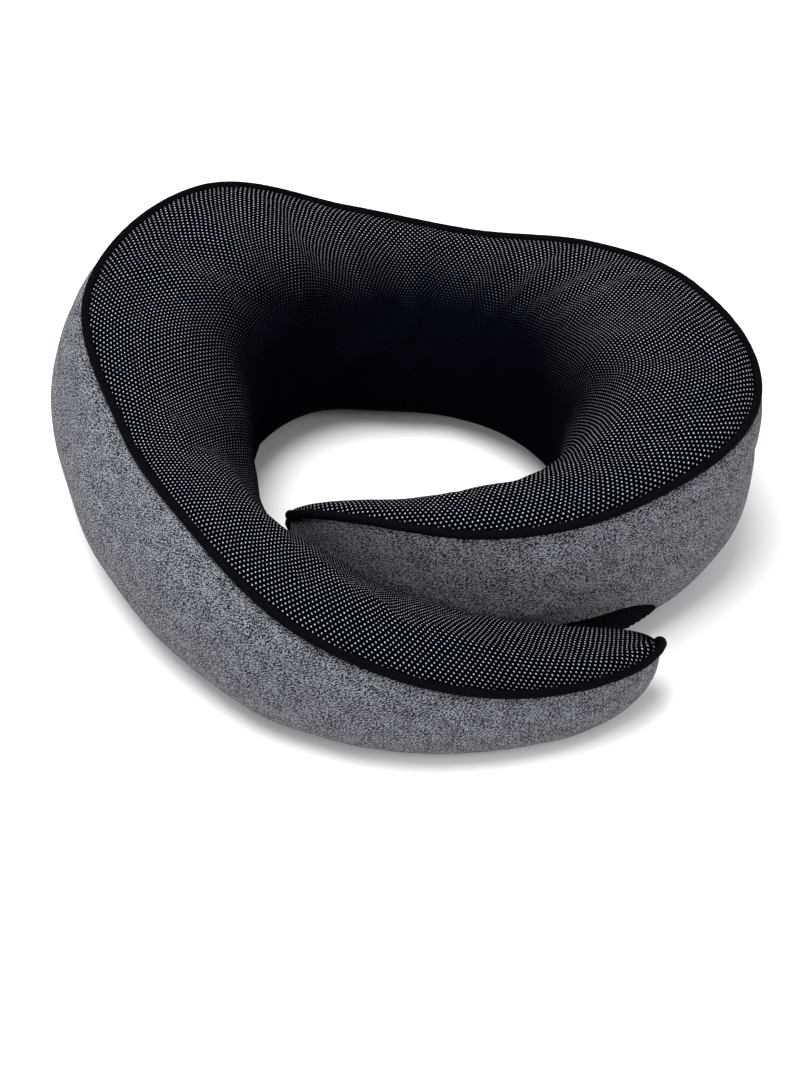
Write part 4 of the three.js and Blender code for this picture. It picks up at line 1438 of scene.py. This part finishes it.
def fastening_patch(name, arm, node):
    """A padded patch with a rolled edge, sewn on the cover."""
    points, normal = patch_surface(arm)
    rings, across = points.shape[:2]
    i = np.linspace(-1, 1, rings)[:, None]
    j = np.linspace(-1, 1, across)[None]
    crown = np.sqrt(np.clip((1 - i**10) * (1 - j**6), 0, 1))
    points = points + normal * (0.0002 + 0.0010 * crown)[..., None]
    flat = points.reshape(-1, 3)
    faces = grid_faces(rings, across)
    if not faces_point_out(flat, faces, normal.reshape(-1, 3)):
        faces = [f[::-1] for f in faces]
    obj = new_object(name, flat, faces, material("black pile"))
    finish_shell(obj, 0.0012)
    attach(obj, arm)
    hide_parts(node)
    inner, inner_normal = patch_surface(arm, inset=0.0014)
    loop = np.concatenate([inner[:, 0], inner[-1, 1:-1], inner[::-1, -1], inner[0, -2:0:-1]])
    outs = np.concatenate([inner_normal[:, 0], inner_normal[-1, 1:-1], inner_normal[::-1, -1],
                           inner_normal[0, -2:0:-1]])
    thread = row_along(f"{name}_stitches", loop + outs * 0.00115, 0.0026, (0.00022, 0.00022, 0.00095),
                       "stitching", closed=True)
    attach(thread, arm)
    return obj


class NECKPILLOW_OT_fastening(bpy.types.Operator):
    """Make the loop patch of the right arm and the hook patch of the left arm"""

    bl_idname = "neck_pillow.fastening"
    bl_label = "Hook and loop fastening"

    def execute(self, context):
        fastening_patch("pile_patch", "right_arm", "loop_patch")
        fastening_patch("hook_base", "left_arm", "hook_patch")
        points, normal = patch_surface("left_arm", inset=0.0022)
        points = points + normal * 0.0012
        faces = grid_faces(*points.shape[:2])
        flat = points.reshape(-1, 3)
        if not faces_point_out(flat, faces, normal.reshape(-1, 3)):
            faces = [f[::-1] for f in faces]
        hooks = new_object("hooks", flat, faces, material("nylon coil"))
        values = {"Spacing": 0.0011, "Hook": (0.00016, 0.00016, 0.00042),
                  "Material": material("nylon coil")}
        grown(hooks, scatter_tree(), values)
        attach(hooks, "left_arm")
        return {"FINISHED"}


class NECKPILLOW_OT_stitches(bpy.types.Operator):
    """Make the topstitching round the zip's window"""

    bl_idname = "neck_pillow.stitches"
    bl_label = "Stitches"

    def execute(self, context):
        end = ZIP_END_ANGLE + 1.0
        reach = ZIP_WINDOW / 2 + 0.0022
        along = even_angles(end, 0.003, ZIP_HEIGHT)
        up = np.linspace(reach, -reach, 9)[1:-1]
        proud = 0.00012
        corners = [zip_face(along, ZIP_HEIGHT + reach, proud), zip_face(np.full(7, end), ZIP_HEIGHT + up, proud),
                   zip_face(along[::-1], ZIP_HEIGHT - reach, proud),
                   zip_face(np.full(7, -end), ZIP_HEIGHT - up, proud)]
        thread = row_along("zip_stitches", np.concatenate(corners), sizes().stitch_pitch,
                           (0.00032, 0.00032, 0.00120), "stitching", closed=True)
        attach(thread, "back")
        return {"FINISHED"}


# ---- Stage ----

CAMERA_AZIMUTH = 14.3
CAMERA_ELEVATION = 42.4
CAMERA_DISTANCE = 1.058
CAMERA_TARGET = Vector((0.006, 0.0103, 0.05))
CAMERA_LENS = 85.2
CAMERA_SHIFT = (-0.0135, -0.104)


def area_light(name, location, target, size, power, colour=(1, 1, 1)):
    data = bpy.data.lights.new(name, "AREA")
    data.shape = "DISK"
    data.size = size
    data.energy = power
    data.color = colour
    light = bpy.data.objects.new(name, data)
    light.location = location
    light.rotation_euler = (Vector(target) - Vector(location)).to_track_quat("-Z", "Y").to_euler()
    bpy.context.scene.collection.objects.link(light)
    return light


class NECKPILLOW_OT_stage(bpy.types.Operator):
    """Make the floor, the soft lights and the camera"""

    bl_idname = "neck_pillow.stage"
    bl_label = "Stage"

    def execute(self, context):
        scene = context.scene
        a, e = math.radians(CAMERA_AZIMUTH), math.radians(CAMERA_ELEVATION)
        back = Vector((math.sin(a) * math.cos(e), -math.cos(a) * math.cos(e), math.sin(e)))
        data = bpy.data.cameras.new("camera")
        data.lens = CAMERA_LENS
        data.shift_x, data.shift_y = CAMERA_SHIFT
        camera = bpy.data.objects.new("camera", data)
        camera.location = CAMERA_TARGET + back * CAMERA_DISTANCE
        camera.rotation_euler = (-back).to_track_quat("-Z", "Y").to_euler()
        scene.collection.objects.link(camera)
        scene.camera = camera

        reach = 6.0
        corners = [(-reach, -reach, 0), (reach, -reach, 0), (reach, reach, 0), (-reach, reach, 0)]
        pale, bsdf, w = new_material("pale floor", 0.9, specular_ior_level=0.1)
        at = w.node("ShaderNodeTexCoord").outputs["Object"]
        w.link(w.mix(w.noise(at, 3.0), (0.86, 0.86, 0.86, 1), (0.88, 0.88, 0.88, 1)),
               bsdf.inputs["Base Color"])
        floor = new_object("floor", corners, [(0, 1, 2, 3)], pale)

        world = bpy.data.worlds.new("studio")
        world.use_nodes = True
        background = world.node_tree.nodes["Background"]
        background.inputs["Color"].default_value = (1, 1, 1, 1)
        background.inputs["Strength"].default_value = 0.55
        scene.world = world
        scene.view_settings.view_transform = "Standard"
        area_light("overhead", (-0.2, -0.15, 1.4), (0, 0, 0.05), 1.0, 30)
        area_light("front", (-0.9, -1.3, 1.0), (0, 0, 0.05), 0.9, 8)
        area_light("side", (1.3, -0.5, 0.9), (0, 0, 0.05), 0.8, 8)
        return {"FINISHED"}


OPERATORS = (
    NECKPILLOW_OT_stage,
    NECKPILLOW_OT_foam,
    NECKPILLOW_OT_liner,
    NECKPILLOW_OT_jersey,
    NECKPILLOW_OT_mesh,
    NECKPILLOW_OT_piping,
    NECKPILLOW_OT_zip,
    NECKPILLOW_OT_fastening,
    NECKPILLOW_OT_stitches,
)


class NECKPILLOW_PT_sidebar(bpy.types.Panel):
    """Lists the pillow's sizes, colours and steps"""

    bl_label = "Neck pillow"
    bl_idname = "NECKPILLOW_PT_sidebar"
    bl_space_type = "VIEW_3D"
    bl_region_type = "UI"
    bl_category = "Neck pillow"

    def draw(self, context):
        for group in (context.scene.neck_pillow_sizes, context.scene.neck_pillow_colours):
            box = self.layout.box()
            for name in group.__annotations__:
                box.prop(group, name)
        for operator in OPERATORS:
            self.layout.operator(operator.bl_idname)


CLASSES = (PillowSizes, PillowColours, *OPERATORS, NECKPILLOW_PT_sidebar)


def register():
    for item in CLASSES:
        bpy.utils.register_class(item)
    bpy.types.Scene.neck_pillow_sizes = PointerProperty(type=PillowSizes)
    bpy.types.Scene.neck_pillow_colours = PointerProperty(type=PillowColours)


def unregister():
    del bpy.types.Scene.neck_pillow_colours
    del bpy.types.Scene.neck_pillow_sizes
    for item in reversed(CLASSES):
        bpy.utils.unregister_class(item)


def main():
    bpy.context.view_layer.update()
    register()
    for operator in OPERATORS:
        group, name = operator.bl_idname.split(".")
        getattr(getattr(bpy.ops, group), name)()


if __name__ == "__main__":
    main()
